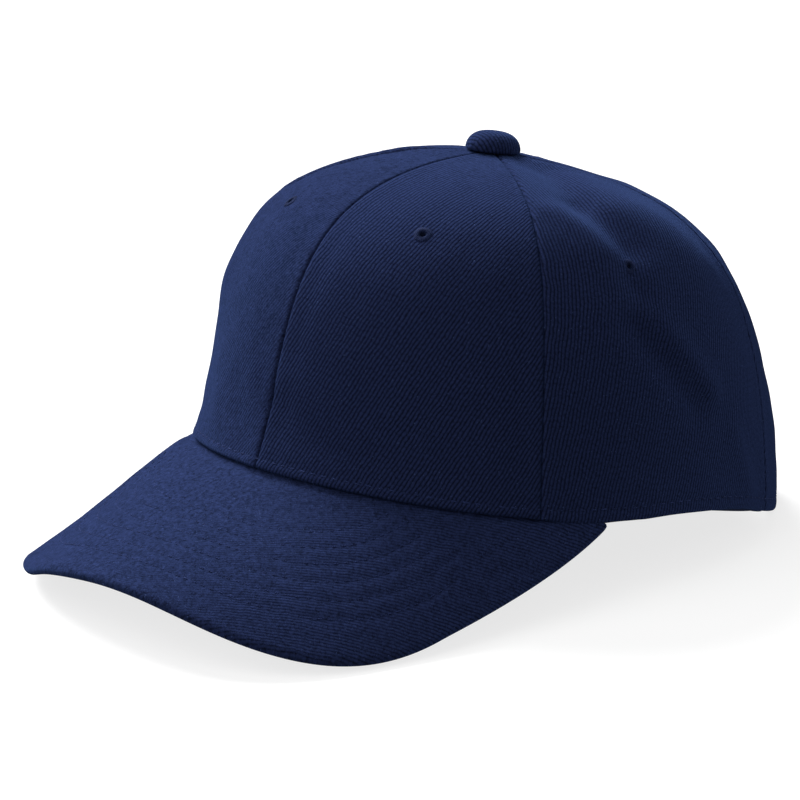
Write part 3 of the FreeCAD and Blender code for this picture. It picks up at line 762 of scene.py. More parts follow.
def spread(count, centre, reach, step):
    """Even shares between 0 and 1, made closer near one centre for the hole there."""
    even = np.linspace(0, 1, count + 2)[1:-1]
    even = even[np.abs(even - centre) > reach + step / 2]
    near = centre + np.arange(-reach, reach + step / 2, step)
    return np.sort(np.concatenate([even, near]))


def cloth_grid(start, end, hem_rows, rows, columns, foot, top):
    """A grid on the crown between two angles, with rows up the cloth and columns across it."""
    angles = np.linspace(start, end, ANGLES_ACROSS)
    lengths = cloth_lengths(angles)
    top_length = np.array([np.interp(top, PARTS, row) for row in lengths])
    foot = foot + 0 * angles
    low = foot[None, :] + hem_rows[:, None]
    share = np.append(rows, 1.0)[:, None]
    climb = np.concatenate([low, low[-1] + (top_length[None, :] - low[-1]) * share])
    parts = np.stack([np.interp(climb[:, k], lengths[k], PARTS) for k in range(len(angles))], 1)
    spine = crown_point(angles[None, :], parts, 0.0)
    run = running(np.linalg.norm(np.diff(spine, axis=1), axis=2))
    grid = {key: [] for key in ("angle", "part", "seam", "u", "v", "rim", "climb")}
    below_top = lengths[:, -1][None, :] - climb
    for r in range(len(climb)):
        width = run[r, -1]
        scale = min(1.0, width / (2.6 * SEAM_DISTANCES[-1]))
        edge = SEAM_DISTANCES * scale
        middle = edge[-1] + (width - 2 * edge[-1]) * columns
        place = np.concatenate([edge, middle, (width - edge)[::-1]])
        angle = np.interp(place, run[r], angles)
        grid["angle"].append(angle)
        grid["part"].append(np.interp(angle, angles, parts[r]))
        grid["seam"].append(np.minimum(place, width - place))
        grid["u"].append(place - width / 2)
        grid["v"].append(-np.interp(angle, angles, below_top[r]))
        grid["climb"].append(np.interp(angle, angles, climb[r]))
        grid["rim"].append(np.interp(angle, angles, climb[r] - foot))
    return {key: np.array(value) for key, value in grid.items()}


def ripple(u, v, seed):
    """A gentle fixed unevenness from a few long waves, about -1 to 1."""
    waves = np.random.default_rng(seed)
    total = 0.0
    for _ in range(6):
        heading, size, phase = waves.uniform(0, np.pi), waves.uniform(9, 30), waves.uniform(0, 2 * np.pi)
        total = total + np.sin((u * math.cos(heading) + v * math.sin(heading)) / size * 2 * np.pi + phase)
    return total / 3.5


# Soft folds and dents of the unlined cloth: angle and part at each end, half width and height
# outwards in mm
FOLDS = (
    (92.0, 0.89, 80.0, 0.75, 6.5, -2.2), (79.0, 0.69, 84.0, 0.54, 7.0, -2.6),
    (68.0, 0.68, 75.0, 0.54, 6.0, 1.1), (98.0, 0.66, 104.0, 0.48, 11.0, 1.4),
    (81.0, 0.44, 84.0, 0.33, 4.5, -1.3), (83.0, 0.35, 98.0, 0.19, 4.0, 1.7),
    (79.0, 0.32, 94.0, 0.165, 5.0, -1.2), (105.0, 0.12, 111.0, 0.04, 4.0, 0.8),
    (5.0, 0.19, 22.0, 0.11, 6.0, 0.6), (1.5, 0.14, 18.0, 0.07, 5.0, -0.5),
    (-15.0, 0.14, -7.0, 0.05, 5.0, -0.6), (-27.0, 0.16, -22.0, 0.07, 5.0, 0.5),
    (-84.0, 0.62, -96.0, 0.3, 9.0, -1.4), (-104.0, 0.4, -88.0, 0.16, 6.0, 1.2),
    (140.0, 0.7, 150.0, 0.62, 8.0, -1.2), (-146.0, 0.72, -138.0, 0.58, 8.0, -1.4),
    (-45.0, 0.33, -56.0, 0.5, 13.0, 1.9), (-43.0, 0.1, -45.0, 0.3, 9.0, 0.7),
    (-58.0, 0.0, -32.0, 0.0, 8.0, 0.9), (-57.0, 0.62, -52.0, 0.84, 4.5, -0.9),
    (132.0, 0.52, 140.0, 0.7, 10.0, 1.2), (120.0, 0.3, 124.0, 0.12, 9.0, -0.6),
    (-160.0, 0.8, 168.0, 0.8, 8.0, -1.0), (136.0, 0.74, 128.0, 0.66, 8.0, 0.8),
    (-57.0, 0.6, -68.0, 0.77, 9.0, -1.2), (134.0, 0.2, 140.0, 0.38, 9.0, -0.9),
)


def fold_relief(points):
    """How far the folds lift the cloth at points of the crown's outer face."""
    total = np.zeros(points.shape[:-1])
    for angle, part, end_angle, end_part, width, rise in FOLDS:
        start, end = crown_point([angle, end_angle], [part, end_part], 0.0)
        run = end - start
        share = np.clip((points - start) @ run / (run @ run), 0, 1)[..., None]
        total += rise * bump(np.linalg.norm(points - start - share * run, axis=-1), width)
    return total


def panel_depths(grid, seed, lip=0.0):
    """Depths of the outer and inner faces of a panel, with its seams, hem and unevenness.

    lip is how far the cloth stands up along the upper part of the panel's second seam."""
    seam, rim, u, v, part = grid["seam"], grid["rim"], grid["u"], grid["v"], grid["part"]
    stands = lip * bump(seam - 2.3, 1.7) * (u > 0) * smooth((part - 0.3) / 0.2) * smooth((0.96 - part) / 0.12)
    # the valley along each seam, the swell beside it and the small puckers of the stitching
    pucker = 1 + 0.45 * np.sin(v * 2 * np.pi / 3.1 + seed) * np.sin(v * 2 * np.pi / 11.0 + seed * 2)
    ditch = 0.66 * bump(seam, 0.3) * (0.7 + 0.3 * pucker) - 0.2 * bump(seam - 1.5, 0.95) * pucker
    ditch = ditch - 0.14 * bump(seam - 3.4, 1.5) + 0.1 * bump(seam - 6.2, 1.3)
    # the folded hem: its round lower edge, the pull of the rim stitches and the puffs beside them
    short = np.minimum(rim, HEM_RADIUS)
    roll = HEM_RADIUS - np.sqrt(np.maximum(0.0, HEM_RADIUS ** 2 - (HEM_RADIUS - short) ** 2))
    pull = 0.2 * bump(grid["climb"] - hem_lift(grid["angle"]) - RIM_STITCH_HEIGHT - 0.2, 0.55)
    pull = pull * (0.75 + 0.25 * np.cos(u * 2 * np.pi / 3.6))
    puff = -0.16 * bump(rim - 1.9, 1.1) - 0.1 * bump(rim - 6.4, 1.8)
    uneven = -0.12 * ripple(u, v, seed) * smooth(seam / 8) * smooth(rim / 12)
    relief = fold_relief(grid["point"]) + stands
    outer = ditch + roll + pull + puff + uneven - relief
    folded = PANEL_THICKNESS + (2 * HEM_RADIUS - PANEL_THICKNESS) * smooth((HEM_END - rim) / 2.5)
    inner = folded + 0.75 * bump(seam, 1.4) - roll - relief
    inner = np.maximum(inner, outer + 0.01)
    return outer, inner


def eyelet_angle(panel):
    """Angle and part of a panel's eyelet on the crown."""
    angle, part = EYELET_PLACES[panel.split("_")[0]]
    return (360.0 - angle if panel.endswith("right") else angle), part


def eyelet_place(panel):
    """Middle of a panel's eyelet, with the directions out, around and up the crown there."""
    angle, part = eyelet_angle(panel)
    base = crown_point(angle, part, 0.0)
    out = crown_normal(angle, part)
    base = base + out * fold_relief(base)
    around = crown_point(angle + 0.5, part, 0.0) - crown_point(angle, part, 0.0)
    around -= out * np.dot(around, out)
    around /= np.linalg.norm(around)
    return base, out, around, np.cross(out, around)


def eyelet_spread(panel, start, end, columns, rows, foot, top):
    """Shares across and up a panel's grid, closer round its eyelet."""
    angle, part = eyelet_angle(panel)
    angles = np.linspace(start, end, 41)
    run = travelled(crown_point(angles, part, 0.0))
    place, edge = np.interp(angle, angles, run), SEAM_DISTANCES[-1]
    wide = run[-1] - 2 * edge
    height, tall = np.interp([part, top], PARTS, cloth_lengths([angle])[0]) - foot
    across = spread(columns, (place - edge) / wide, EYELET_REACH / wide, EYELET_STEP / wide)
    return across, spread(rows, height / tall, EYELET_REACH / tall, EYELET_STEP / tall)


def cells_within(inside):
    """Marks the cells of a grid that have all four corners inside."""
    return inside[:-1, :-1] & inside[1:, :-1] & inside[:-1, 1:] & inside[1:, 1:]


def open_eyelet(panel, outer, inner):
    """Marks the cells inside the eyelet and rounds the hole they leave."""
    base, out, around, upwards = eyelet_place(panel)
    offset = outer - base
    a, b = offset @ around, offset @ upwards
    away = np.hypot(a, b)
    inside = (away < EYELET_CLEAR) & (np.abs(offset @ out) < 6)
    push = np.where(inside, EYELET_CLEAR / np.maximum(away, 0.05) - 1, 0.0)[..., None]
    move = (a[..., None] * around + b[..., None] * upwards) * push
    return outer + move, inner + move, cells_within(inside)


def open_back(outer, inner, outer_depth, inner_depth):
    """Marks the cells inside the half-moon opening and snaps the cut edge to its outline."""
    x, z = outer[..., 0], outer[..., 2] - RIM_BACK
    wide = x / OPENING_HALF_WIDTH
    size = np.where(z > 0, np.hypot(wide, z / OPENING_HEIGHT), np.abs(wide))
    inside = size < 1
    near = inside & (size > 0.75)
    to_x = x[near] / size[near]
    to_z = np.where(z[near] > 0, z[near] / size[near], z[near])
    outer, inner = outer.copy(), inner.copy()
    outer[near] = at_back(to_x, to_z + RIM_BACK, outer_depth[near])
    inner[near] = at_back(to_x, to_z + RIM_BACK, inner_depth[near])
    return outer, inner, cells_within(inside)


WEAVE_HEADING = {"front": 63.0, "side": 74.0, "back": 63.0}
TOP_NAP = {"front": 0.55, "side": 0.2, "back": 0.3}
BRUSHED = {"front_right": 0.62, "side_right": 0.42, "back_right": 0.25, "back_left": 0.12}
SEAM_LIP = {"side_right": 0.8}
EYELET_SIZE = {"front_left": 0.95, "side_left": 0.85}
PANELS = ("front_left", "side_left", "back_left", "back_right", "side_right", "front_right")


def crown_panel(index, name, material):
    """One twill panel, with its hem, its eyelet hole and its share of the back opening."""
    kind, side = name.split("_")
    start, end = 60.0 * index, 60.0 * (index + 1)
    columns, rows = eyelet_spread(name, start, end, 26, 84, HEM_ROWS[-1], PANEL_TOP)
    foot = panel_foot(np.linspace(start, end, ANGLES_ACROSS))
    grid = cloth_grid(start, end, HEM_ROWS, rows, columns, foot, PANEL_TOP)
    grid["point"] = crown_point(grid["angle"], grid["part"], 0.0)
    depths = panel_depths(grid, index + 1, SEAM_LIP.get(name, 0.0))
    outer, inner = (crown_point(grid["angle"], grid["part"], depth) for depth in depths)
    outer, inner, closed = open_eyelet(name, outer, inner)
    if kind == "back":
        outer, inner, also = open_back(outer, inner, *depths)
        closed = closed | also
    nap = TOP_NAP[kind] * smooth((grid["v"] + 62) / 45) + 0.3 * bump(grid["seam"], 1.6) - 0.1
    nap = nap + BRUSHED.get(name, 0.0)
    made = shell_piece(f"{name}_panel_cloth", outer, inner, closed, (grid["u"] + 200 * index, grid["v"], nap))
    finish_piece(made, material, "crown_twill", [f"{kind}_panel_{side}"])


BUCKRAM_FOOT, BUCKRAM_TOP, BUCKRAM_DEPTHS = 4.2, 0.93, (0.9, 1.42)


def buckram(name, material):
    """The stiff net behind a front panel."""
    index = PANELS.index(name)
    start, end = 60.0 * index + 1.0, 60.0 * index + 59.0
    columns, rows = eyelet_spread(name, start, end, 16, 50, BUCKRAM_FOOT, BUCKRAM_TOP)
    grid = cloth_grid(start, end, np.array([0.0]), rows, columns, BUCKRAM_FOOT, BUCKRAM_TOP)
    uneven = 0.03 * ripple(grid["u"], grid["v"], 40 + index)
    uneven = uneven - fold_relief(crown_point(grid["angle"], grid["part"], 0.0))
    outer, inner = (crown_point(grid["angle"], grid["part"], depth + uneven) for depth in BUCKRAM_DEPTHS)
    outer, inner, closed = open_eyelet(name, outer, inner)
    made = shell_piece(f"{name}_buckram_net", outer, inner, closed, (grid["u"], grid["v"], 0 * grid["u"]))
    finish_piece(made, material, "buckram", [f"front_buckram_{name.split('_')[1]}"])


# Radius and height of the ring's section, in mm, from inside the hole over the top and back under it
EYELET_OUTLINE = (
    (1.2, -1.5), (1.1, -0.9), (1.05, -0.35), (1.1, -0.05), (1.26, 0.16), (1.52, 0.27), (1.85, 0.3), (2.2, 0.25),
    (2.52, 0.14), (2.78, 0.0), (2.95, -0.16), (2.9, -0.35), (2.4, -0.5), (2.05, -0.9), (2.0, -1.5), (1.65, -1.62))


def eyelet(name, material):
    """A buttonhole-stitched ring round the hole: threads lie side by side out from the middle."""
    base, out, around, upwards = eyelet_place(name)
    threads, steps = 26, 7
    size = EYELET_SIZE.get(name, 0.82)
    turn = np.linspace(0, 2 * np.pi, threads * steps, endpoint=False)
    uneven = 1 + 0.03 * np.sin(3 * turn + 1) + 0.02 * np.sin(7 * turn)
    cord = np.abs(np.sin(turn * threads / 2)) ** 0.8
    rings = []
    for radius, height in EYELET_OUTLINE:
        top = smooth((height + 0.6) / 0.5)
        radius = radius * size
        swell = 0.06 * cord * top * (1 if radius > 2.2 * size else -1)
        reach = radius * (uneven if radius > 1.6 else 1.0) + swell
        rise = height + 0.1 * (cord - 0.6) * top
        rings.append(base + reach[:, None] * (np.cos(turn)[:, None] * around + np.sin(turn)[:, None] * upwards)
                     + rise[:, None] * out)
    rings = np.array(rings)
    rows, columns = rings.shape[:2]
    faces = ring_faces(rows, columns) + bridge((rows - 1) * columns, 0, columns)
    weave = np.zeros(rings.shape)
    weave[..., 0] = np.array([r for r, _ in EYELET_OUTLINE])[:, None]
    weave[..., 1] = turn[None, :] * 2.4
    weave[..., 2] = 0.5
    kind, side = name.split("_")
    made = link_mesh(f"{name}_eyelet_ring", rings, faces, weave)
    finish_piece(made, material, "thread", [f"{kind}_eyelet_{side}"])


# ------------------------------------------------------------ inside the crown

TAPE_DEPTH, TAPE_STEP, TAPE_WIDTH, TAPE_THICKNESS, TAPE_TURN = 1.55, 0.55, 12.0, 0.5, 16.0
TAPE_COLUMNS, TAPE_EDGE, STITCHED_COLUMNS = 15, 3, (2, 12)


def angle_across(angle, part, depth, across):
    """The angle of the point that stands this far to the side of the seam's upright plane."""
    plan_x, plan_y, _ = rim_direction(angle)
    found = angle + 0 * across
    for _ in range(8):
        point = crown_point(found, part, depth)
        x, y = point[..., 0], point[..., 1] - TOP_SHIFT
        found = found + np.degrees((across - (x * -plan_y + y * plan_x)) / np.hypot(x, y))
    return found


def crown_above(x, y, depth):
    """The point of the crown above or below a place near its top."""
    radius = np.maximum(np.hypot(x, y - TOP_SHIFT), 1e-6)
    step_x, step_y = x / radius, (y - TOP_SHIFT) / radius
    step_y = np.where(np.hypot(step_x, step_y) < 0.5, 1.0, step_y)
    a = (step_x / HALF_WIDTH) ** 2 + (step_y / HALF_LENGTH) ** 2
    b = step_y * TOP_SHIFT / HALF_LENGTH ** 2
    c = (TOP_SHIFT / HALF_LENGTH) ** 2 - 1
    reach = (-b + np.sqrt(b * b - a * c)) / a
    angle = np.degrees(np.arctan2(step_x * reach / HALF_WIDTH, -(TOP_SHIFT + step_y * reach) / HALF_LENGTH))
    _, part = bisect(lambda part: meridian(angle, part)[0] > radius, 0.4 + 0 * radius, 1.0 + 0 * radius, 30)
    return np.stack([x, y, meridian(angle, part)[1] - depth], -1)


def seam_tape(name, node, seam, crossing, foot_front, foot_back, material):
    """Makes a tape along one seam, over the top and down the opposite seam.

    It lies deeper by crossing near the top. Returns the paths of its two stitch rows."""
    offset, depth = strip_loop(TAPE_WIDTH / 2, TAPE_DEPTH, TAPE_DEPTH + TAPE_THICKNESS, TAPE_COLUMNS, TAPE_EDGE)

    def leg(angle, foot, side):
        """Stations from the rim up to where the tape turns over the top."""
        low = float(part_at(angle, foot))
        high = float(np.interp(-TAPE_TURN, -meridian(angle, PARTS)[0], PARTS))
        rows = []
        for part in np.linspace(low, high, 56):
            raised = 0.28 * bump(offset, 2.0) * smooth((part - low) * 9 - 1.6)
            stitched = -0.07 * bump(np.abs(offset) - 4.6, 0.5)
            level = depth + raised + stitched + crossing * smooth((part - 0.55) / 0.25)
            rows.append(crown_point(angle_across(angle, part, level, offset * side), part, level))
        return rows

    ends = [np.array(rim_direction(a)[:2]) for a in (seam, seam + 180.0)]
    sideways = np.array([ends[1][1] - ends[0][1], ends[0][0] - ends[1][0]])
    sideways /= np.linalg.norm(sideways)
    over = []
    for share in np.linspace(-1, 1, 15)[1:-1]:
        place = (ends[0] if share < 0 else ends[1]) * abs(share) * TAPE_TURN
        x = place[0] + sideways[0] * offset
        y = place[1] + sideways[1] * offset + TOP_SHIFT
        over.append(crown_above(x, y, depth + crossing + 0.28 * bump(offset, 2.0)))
    stations = np.array(leg(seam, foot_front, 1.0) + over + leg(seam + 180.0, foot_back, -1.0)[::-1])
    along = travelled(stations[:, TAPE_COLUMNS // 2])
    finish_piece(strip_piece(name, stations, (offset, along[:, None])), material, "seam_tape", [node])
    paths = []
    for column in STITCHED_COLUMNS:
        inside = 2 * TAPE_COLUMNS + TAPE_EDGE - 1 - column
        path = stations[:, inside]
        ahead = np.gradient(stations, axis=0)[:, inside]
        normal = np.cross(ahead, stations[:, inside - 1] - stations[:, inside + 1])
        normal /= np.linalg.norm(normal, axis=1, keepdims=True)
        middle = np.array([0.0, TOP_SHIFT, 40.0])
        normal *= np.sign(np.sum(normal * (middle - path), axis=1, keepdims=True))
        paths.append((path, normal))
    return paths


SWEAT_FOOT, SWEAT_TOP, SWEAT_OUTER, SWEAT_THICKNESS = 0.8, 33.2, 3.45, 0.95
RIM_STITCH_END = 143.5


def sweatband(material):
    """The folded cotton band round the inside of the rim, open at the back."""
    angles = np.linspace(-BAND_END_ANGLE, BAND_END_ANGLE, 181)
    radius = SWEAT_THICKNESS / 2
    climb = np.concatenate([[0, 0.6, 1.4, 2.2, 3.0, 3.8, 5.0], np.linspace(7, 25, 10), [27, 29, 30.5, 31.3]])
    length = climb + SWEAT_FOOT
    turn = np.linspace(0, np.pi, 7)[1:-1]
    top_round = (SWEAT_TOP - 0.5 + radius * np.sin(turn), SWEAT_OUTER + radius - radius * np.cos(turn))
    above = np.concatenate([length, top_round[0], length[::-1], SWEAT_FOOT - radius * np.sin(turn)])[None, :]
    depth = np.concatenate([0 * length + SWEAT_OUTER, top_round[1], 0 * length + SWEAT_OUTER + SWEAT_THICKNESS,
                            (SWEAT_OUTER + radius + radius * np.cos(turn))])
    inside = depth > SWEAT_OUTER + radius
    around = np.radians(angles)[:, None]
    above = above + np.maximum(0.0, hem_lift(angles[:, None])) * smooth(1 - above / 16)
    puff = 0.5 * np.sin(np.pi * np.clip((above - 4.5) / 27.0, 0, 1)) + 0.25 * bump(above - 31.0, 1.2)
    waves = 0.22 * np.sin(around * 17 + 1.0) * smooth((above - 12) / 16)
    waves = waves + 0.12 * np.sin(around * 41 + above / 9)
    gather = -0.3 * bump(above - RIM_STITCH_HEIGHT - 0.2, 0.7)
    level = depth + np.where(inside, puff + gather + waves, 0.35 * waves * smooth((above - 20) / 12))
    stations = crown_point(angles[:, None], part_at(angles[:, None], above), level)
    made = strip_piece("sweatband_cotton", stations, (around * 90, above), flip=True)
    finish_piece(made, material, "sweatband", ["sweatband_cover"])


def ring_path(depth, outwards):
    """The rim stitches' path at one depth, with normals out of or into the crown."""
    angles = np.linspace(-RIM_STITCH_END, RIM_STITCH_END, 400)
    part = part_at(angles, RIM_STITCH_HEIGHT + 0.2 + hem_lift(angles))
    normal = crown_normal(angles, part)
    relief = fold_relief(crown_point(angles, part, 0.0)) if outwards else 0.0
    return crown_point(angles, part, depth - relief), normal if outwards else -normal


# ---------------------------------------------------------------------- brim

EDGE_RADIUS = BRIM_THICKNESS / 2
BOARD_INSET, BOARD_TOP, BOARD_LOW = 1.5, 0.66, 2.44
BRIM_TUCK, BRIM_DIP = 3.3, 0.45
BRIM_END_BEND, BRIM_ROOT_ANGLE = (96.0, -54.0), BRIM_END_ANGLE - 5.0
EDGE_EASE = 18


def free_edge():
    """The brim's free edge from rim to rim as (across, ahead), with a small round at each end."""
    side = np.linspace(0, 0.93, 220)
    across, ahead = brim_outer(side, 0.0)
    corner = brim_inner(BRIM_END_ANGLE - 0.4, -0.3)
    inner = brim_inner(BRIM_ROOT_ANGLE, BRIM_TUCK)
    share = np.linspace(0, 1, 40)[1:, None]
    start, bend = np.array([across[-1], ahead[-1]]), np.array(BRIM_END_BEND)
    turn_in = start * (1 - share) ** 2 + 2 * bend * share * (1 - share) + np.array(corner) * share ** 2
    half = np.concatenate([np.stack([across, ahead], 1), turn_in, [inner]])
    run = travelled(half)
    fine = np.linspace(0, run[-1], 700)
    half = np.stack([np.interp(fine, run, half[:, k]) for k in (0, 1)], 1)
    whole = np.concatenate([(half * [-1, 1])[:0:-1], half])
    kernel = bump(np.arange(-EDGE_EASE, EDGE_EASE + 1), 7.0)
    kernel /= kernel.sum()
    padded = np.concatenate([np.repeat(whole[:1], EDGE_EASE, 0), whole, np.repeat(whole[-1:], EDGE_EASE, 0)])
    eased = np.stack([np.convolve(padded[:, k], kernel, "valid") for k in (0, 1)], 1)
    eased[0], eased[-1] = whole[0], whole[-1]
    return eased


def inset_of(across, ahead):
    """How far a place on the brim lies inside its outer edge."""
    def inside(inset):
        wide = np.abs(across) / (BRIM_HALF_WIDTH - inset)
        tall = np.maximum(0.0, ahead - BRIM_CORNER) / (BRIM_LENGTH - inset - BRIM_CORNER)
        return wide ** BRIM_ROUNDNESS + tall ** BRIM_ROUNDNESS < 1

    return bisect(inside, -3.0 + 0 * across, 55.0 + 0 * across, 26)[0]


def brim_grid(columns):
    """Edge point, inward normal, inner point and narrowing for each column across the brim."""
    edge = free_edge()
    run = travelled(edge)
    share = np.linspace(-1, 1, columns)
    share = np.sin(share * np.pi / 2 * 0.8) / math.sin(np.pi / 2 * 0.8)
    wanted = (share + 1) / 2 * run[-1]
    point, tangent = (np.stack([np.interp(wanted, run, values[:, k]) for k in (0, 1)], 1)
                      for values in (edge, np.gradient(edge, axis=0)))
    tangent /= np.linalg.norm(tangent, axis=1, keepdims=True)
    inward = np.stack([tangent[:, 1], -tangent[:, 0]], 1)
    inner = np.stack(brim_inner(share * BRIM_ROOT_ANGLE, BRIM_TUCK), 1)
    gap = np.linalg.norm(point - inner, axis=1)
    return point, inward, inner, gap, np.clip(gap / 5.0, 0.02, 1.0)


def brim_flex(across, ahead):
    """How far the brim is bent up, from handling, at a place on it."""
    bend = 2.7 * bump(across - 15.0, 31.0) - 2.3 * bump(across + 50.0, 17.0)
    # near one end of its root the brim also stands up from the hem, from just outside the rim
    past_rim = 88.0 * (np.hypot(across / HALF_WIDTH, (ahead + HALF_LENGTH) / HALF_LENGTH) - 1)
    root = 2.45 * bump(across + 66.0, 20.0) * smooth((22.0 - ahead) / 54.0) * smooth(past_rim / 7.5)
    return bend * smooth(1 - inset_of(across, ahead) / 50.0) + root


def stitch_groove(across, ahead):
    """How deep the stitch rows pull the brim's cloth in."""
    inset = inset_of(across, ahead)
    groove = sum(bump(inset - STITCH_INSET - STITCH_PITCH * k, 0.8) for k in range(STITCH_ROWS))
    return 0.3 * groove - 0.1


def brim_cloth(name, node, upper, material):
    """The brim's top or under cloth, turned over the board's edge to meet the other."""
    edge, inward, inner, _, scale = brim_grid(241)
    flat = np.concatenate([np.linspace(0, 0.9, 40)[:-1], np.linspace(0.9, 1.0, 10)])
    turn = np.radians(np.concatenate([np.arange(9, 91, 9), [96, 100, 103]]))
    seam_dip = np.where(turn > np.radians(95), (turn - np.radians(95)) * 1.6, 0.0)
    lining = 0.55
    start = edge + inward * (EDGE_RADIUS * scale)[:, None]
    places, levels = [], []

    def add(place, level):
        """One more column of the profile, at places on the brim and a depth."""
        places.append(place)
        levels.append(np.broadcast_to(level if upper else BRIM_THICKNESS - level, scale.shape))

    def add_round(radius, angle):
        """One more column on the round over the board's edge."""
        add(edge + inward * ((EDGE_RADIUS - radius * math.sin(angle)) * scale)[:, None],
            (EDGE_RADIUS - radius * math.cos(angle)) * np.maximum(scale, 0.35))

    for share in flat:
        add(inner + (start - inner) * share, 0.0)
    for angle, dip in zip(turn, seam_dip):
        add_round(EDGE_RADIUS - dip, angle)
    for angle in turn[::-2]:
        add_round(EDGE_RADIUS - lining, angle)
    for share in flat[::-3]:
        add(inner + (start - inner) * share, lining)
    places = np.array(places).transpose(1, 0, 2)
    levels = np.array(levels).T
    across, ahead = places[..., 0], places[..., 1]
    shown = np.zeros(levels.shape)
    shown[:, :len(flat)] = 1
    groove = stitch_groove(across, ahead) * shown + 0.05 * ripple(across, ahead, 21 if upper else 22) * shown
    beyond_rim = np.linalg.norm(places - inner[:, None], axis=2) - BRIM_TUCK
    crevice = (BRIM_DIP if upper else 0.0) * bump(beyond_rim + 0.4, 1.5) * (levels < 0.3)
    levels = levels + (groove if upper else -groove) + crevice - brim_flex(across, ahead)
    nap = np.clip(0.95 - 0.5 * smooth((across + 10) / 80), 0, 1)
    made = strip_piece(name, brim_point(across, ahead, levels), (across, ahead, nap), flip=upper)
    finish_piece(made, material, "brim_twill", [node])


def brim_board(material):
    """The moulded board between the brim's cloths, flexed with them."""
    edge, inward, inner, gap, scale = brim_grid(181)
    rim = edge + inward * (BOARD_INSET * scale)[:, None]
    root = inner + (edge - inner) * np.minimum(0.45, 1.6 / np.maximum(gap, 0.1))[:, None]
    half = (BOARD_LOW - BOARD_TOP) / 2
    flat = [root + (rim - root) * share for share in np.linspace(0, 1, 34)]
    places, levels = list(flat), [BOARD_TOP] * len(flat)
    for angle in np.radians(np.arange(30, 180, 30)):
        places.append(rim + inward * (half * (1 - math.sin(angle)) * scale)[:, None])
        levels.append(BOARD_TOP + half - half * math.cos(angle))
    places += flat[::-1]
    levels += [BOARD_LOW] * len(flat)
    across, ahead = np.array(places).transpose(2, 1, 0)
    stations = brim_point(across, ahead, np.array(levels)[None, :] - brim_flex(across, ahead))
    made = link_mesh("brim_fibre_board", stations, strip_faces(*stations.shape[:2], flip=True))
    finish_piece(made, material, "board", ["brim_board"])


def brim_rows():
    """Paths of the brim's stitch rows on its top and under cloths."""
    paths = []
    for row in range(STITCH_ROWS):
        inset = STITCH_INSET + STITCH_PITCH * row
        side = np.linspace(0, 0.98, 300)
        across, ahead = brim_outer(side, inset)
        point = brim_point(across, ahead, 0.0)
        clear = (point[:, 0] / (HALF_WIDTH + 1.5)) ** 2 + (point[:, 1] / (HALF_LENGTH + 1.5)) ** 2 > 1
        end = side[clear].max()
        side = np.linspace(-end, end, 400)
        across, ahead = brim_outer(side, inset)
        flex = brim_flex(across, ahead)
        top = brim_point(across, ahead, 0.1 - flex)
        under = brim_point(across, ahead, BRIM_THICKNESS - 0.1 - flex)
        out = brim_point(across, ahead, -1.0) - brim_point(across, ahead, 0.0)
        paths += [(top, out), (under, -out)]
    return paths


# -------------------------------------------------------------------- button

def button_cover(material):
    """Cloth drawn over the button's shell, tucked under its edge in small pleats."""
    turns = np.linspace(0, 2 * np.pi, 168, endpoint=False)
    rise = np.linspace(0.0, np.pi / 2, 26)[:-1]
    profile = [(6.0, 0.62), (6.7, 0.22), (7.4, 0.02), (8.05, 0.0), (8.42, 0.2)]
    profile += [(BUTTON_RADIUS * math.cos(t) ** 0.7, BUTTON_BASE + BUTTON_HEIGHT * math.sin(t))
                for t in rise[1:]]
    pleats = np.abs(np.sin(turns * 9 + 0.5 * np.sin(turns * 4))) ** 0.5
    rings = []
    for radius, height in profile:
        low = smooth((3.2 - height) / 3.2)
        reach = radius * (1 + 0.006 * np.sin(2 * turns + 0.6)) - 0.2 * low * (1 - pleats)
        tall = height + 0.1 * np.sin(turns + 0.7) * smooth(radius / 8)
        rings.append(np.stack([reach * np.sin(turns), -reach * np.cos(turns), tall + 0 * turns], -1))
    back = []
    inside = [(5.7, 0.9)] + [(max(0.2, radius * 0.925), height * 0.9 + 0.12) for radius, height in profile[4:]]
    for radius, height in inside[::-1]:
        back.append(np.stack([radius * np.sin(turns), -radius * np.cos(turns), height + 0 * turns], -1))
    rows, more, columns = len(rings), len(back), len(turns)
    crest = np.array([[0.0, 0.0, BUTTON_BASE + BUTTON_HEIGHT]])
    points = np.concatenate([*rings, crest, *back, crest - [0.0, 0.0, 0.55]])
    top = rows * columns
    first = top + 1
    faces = ring_faces(rows, columns)
    faces += [(top - columns + c, top - columns + (c + 1) % columns, top) for c in range(columns)]
    faces += ring_faces(more, columns, first)
    faces += [(first + (c + 1) % columns, first + c, first + more * columns) for c in range(columns)]
    faces += bridge(first + (more - 1) * columns, 0, columns)
    # the twill runs straight over the dome, so cloth lengths are kept outwards from its crest
    outwards = np.hypot(points[:, 0], points[:, 1])
    drop = BUTTON_BASE + BUTTON_HEIGHT - points[:, 2]
    stretch = np.hypot(outwards, drop * 1.15) / np.maximum(outwards, 0.01)
    turn = math.radians(WEAVE_HEADING["front"] + 8.0)
    flat_x, flat_y = points[:, 0] * stretch, points[:, 1] * stretch
    weave = np.stack([flat_x * math.cos(turn) - flat_y * math.sin(turn) + 40,
                      flat_x * math.sin(turn) + flat_y * math.cos(turn), 0 * flat_x - 0.1], -1)
    placed = points + [0.0, 0.0, CROWN_HEIGHT]
    pivot = np.array([0.0, 0.0, CROWN_HEIGHT - 2.0])
    placed = rotate_x(placed - pivot, -BUTTON_TILT) + pivot + [0.0, TOP_SHIFT, 0.0]
    finish_piece(link_mesh("top_button_cloth", placed, faces, weave), material, "crown_twill", ["button_cover"])


# ------------------------------------------------------- back opening and strap

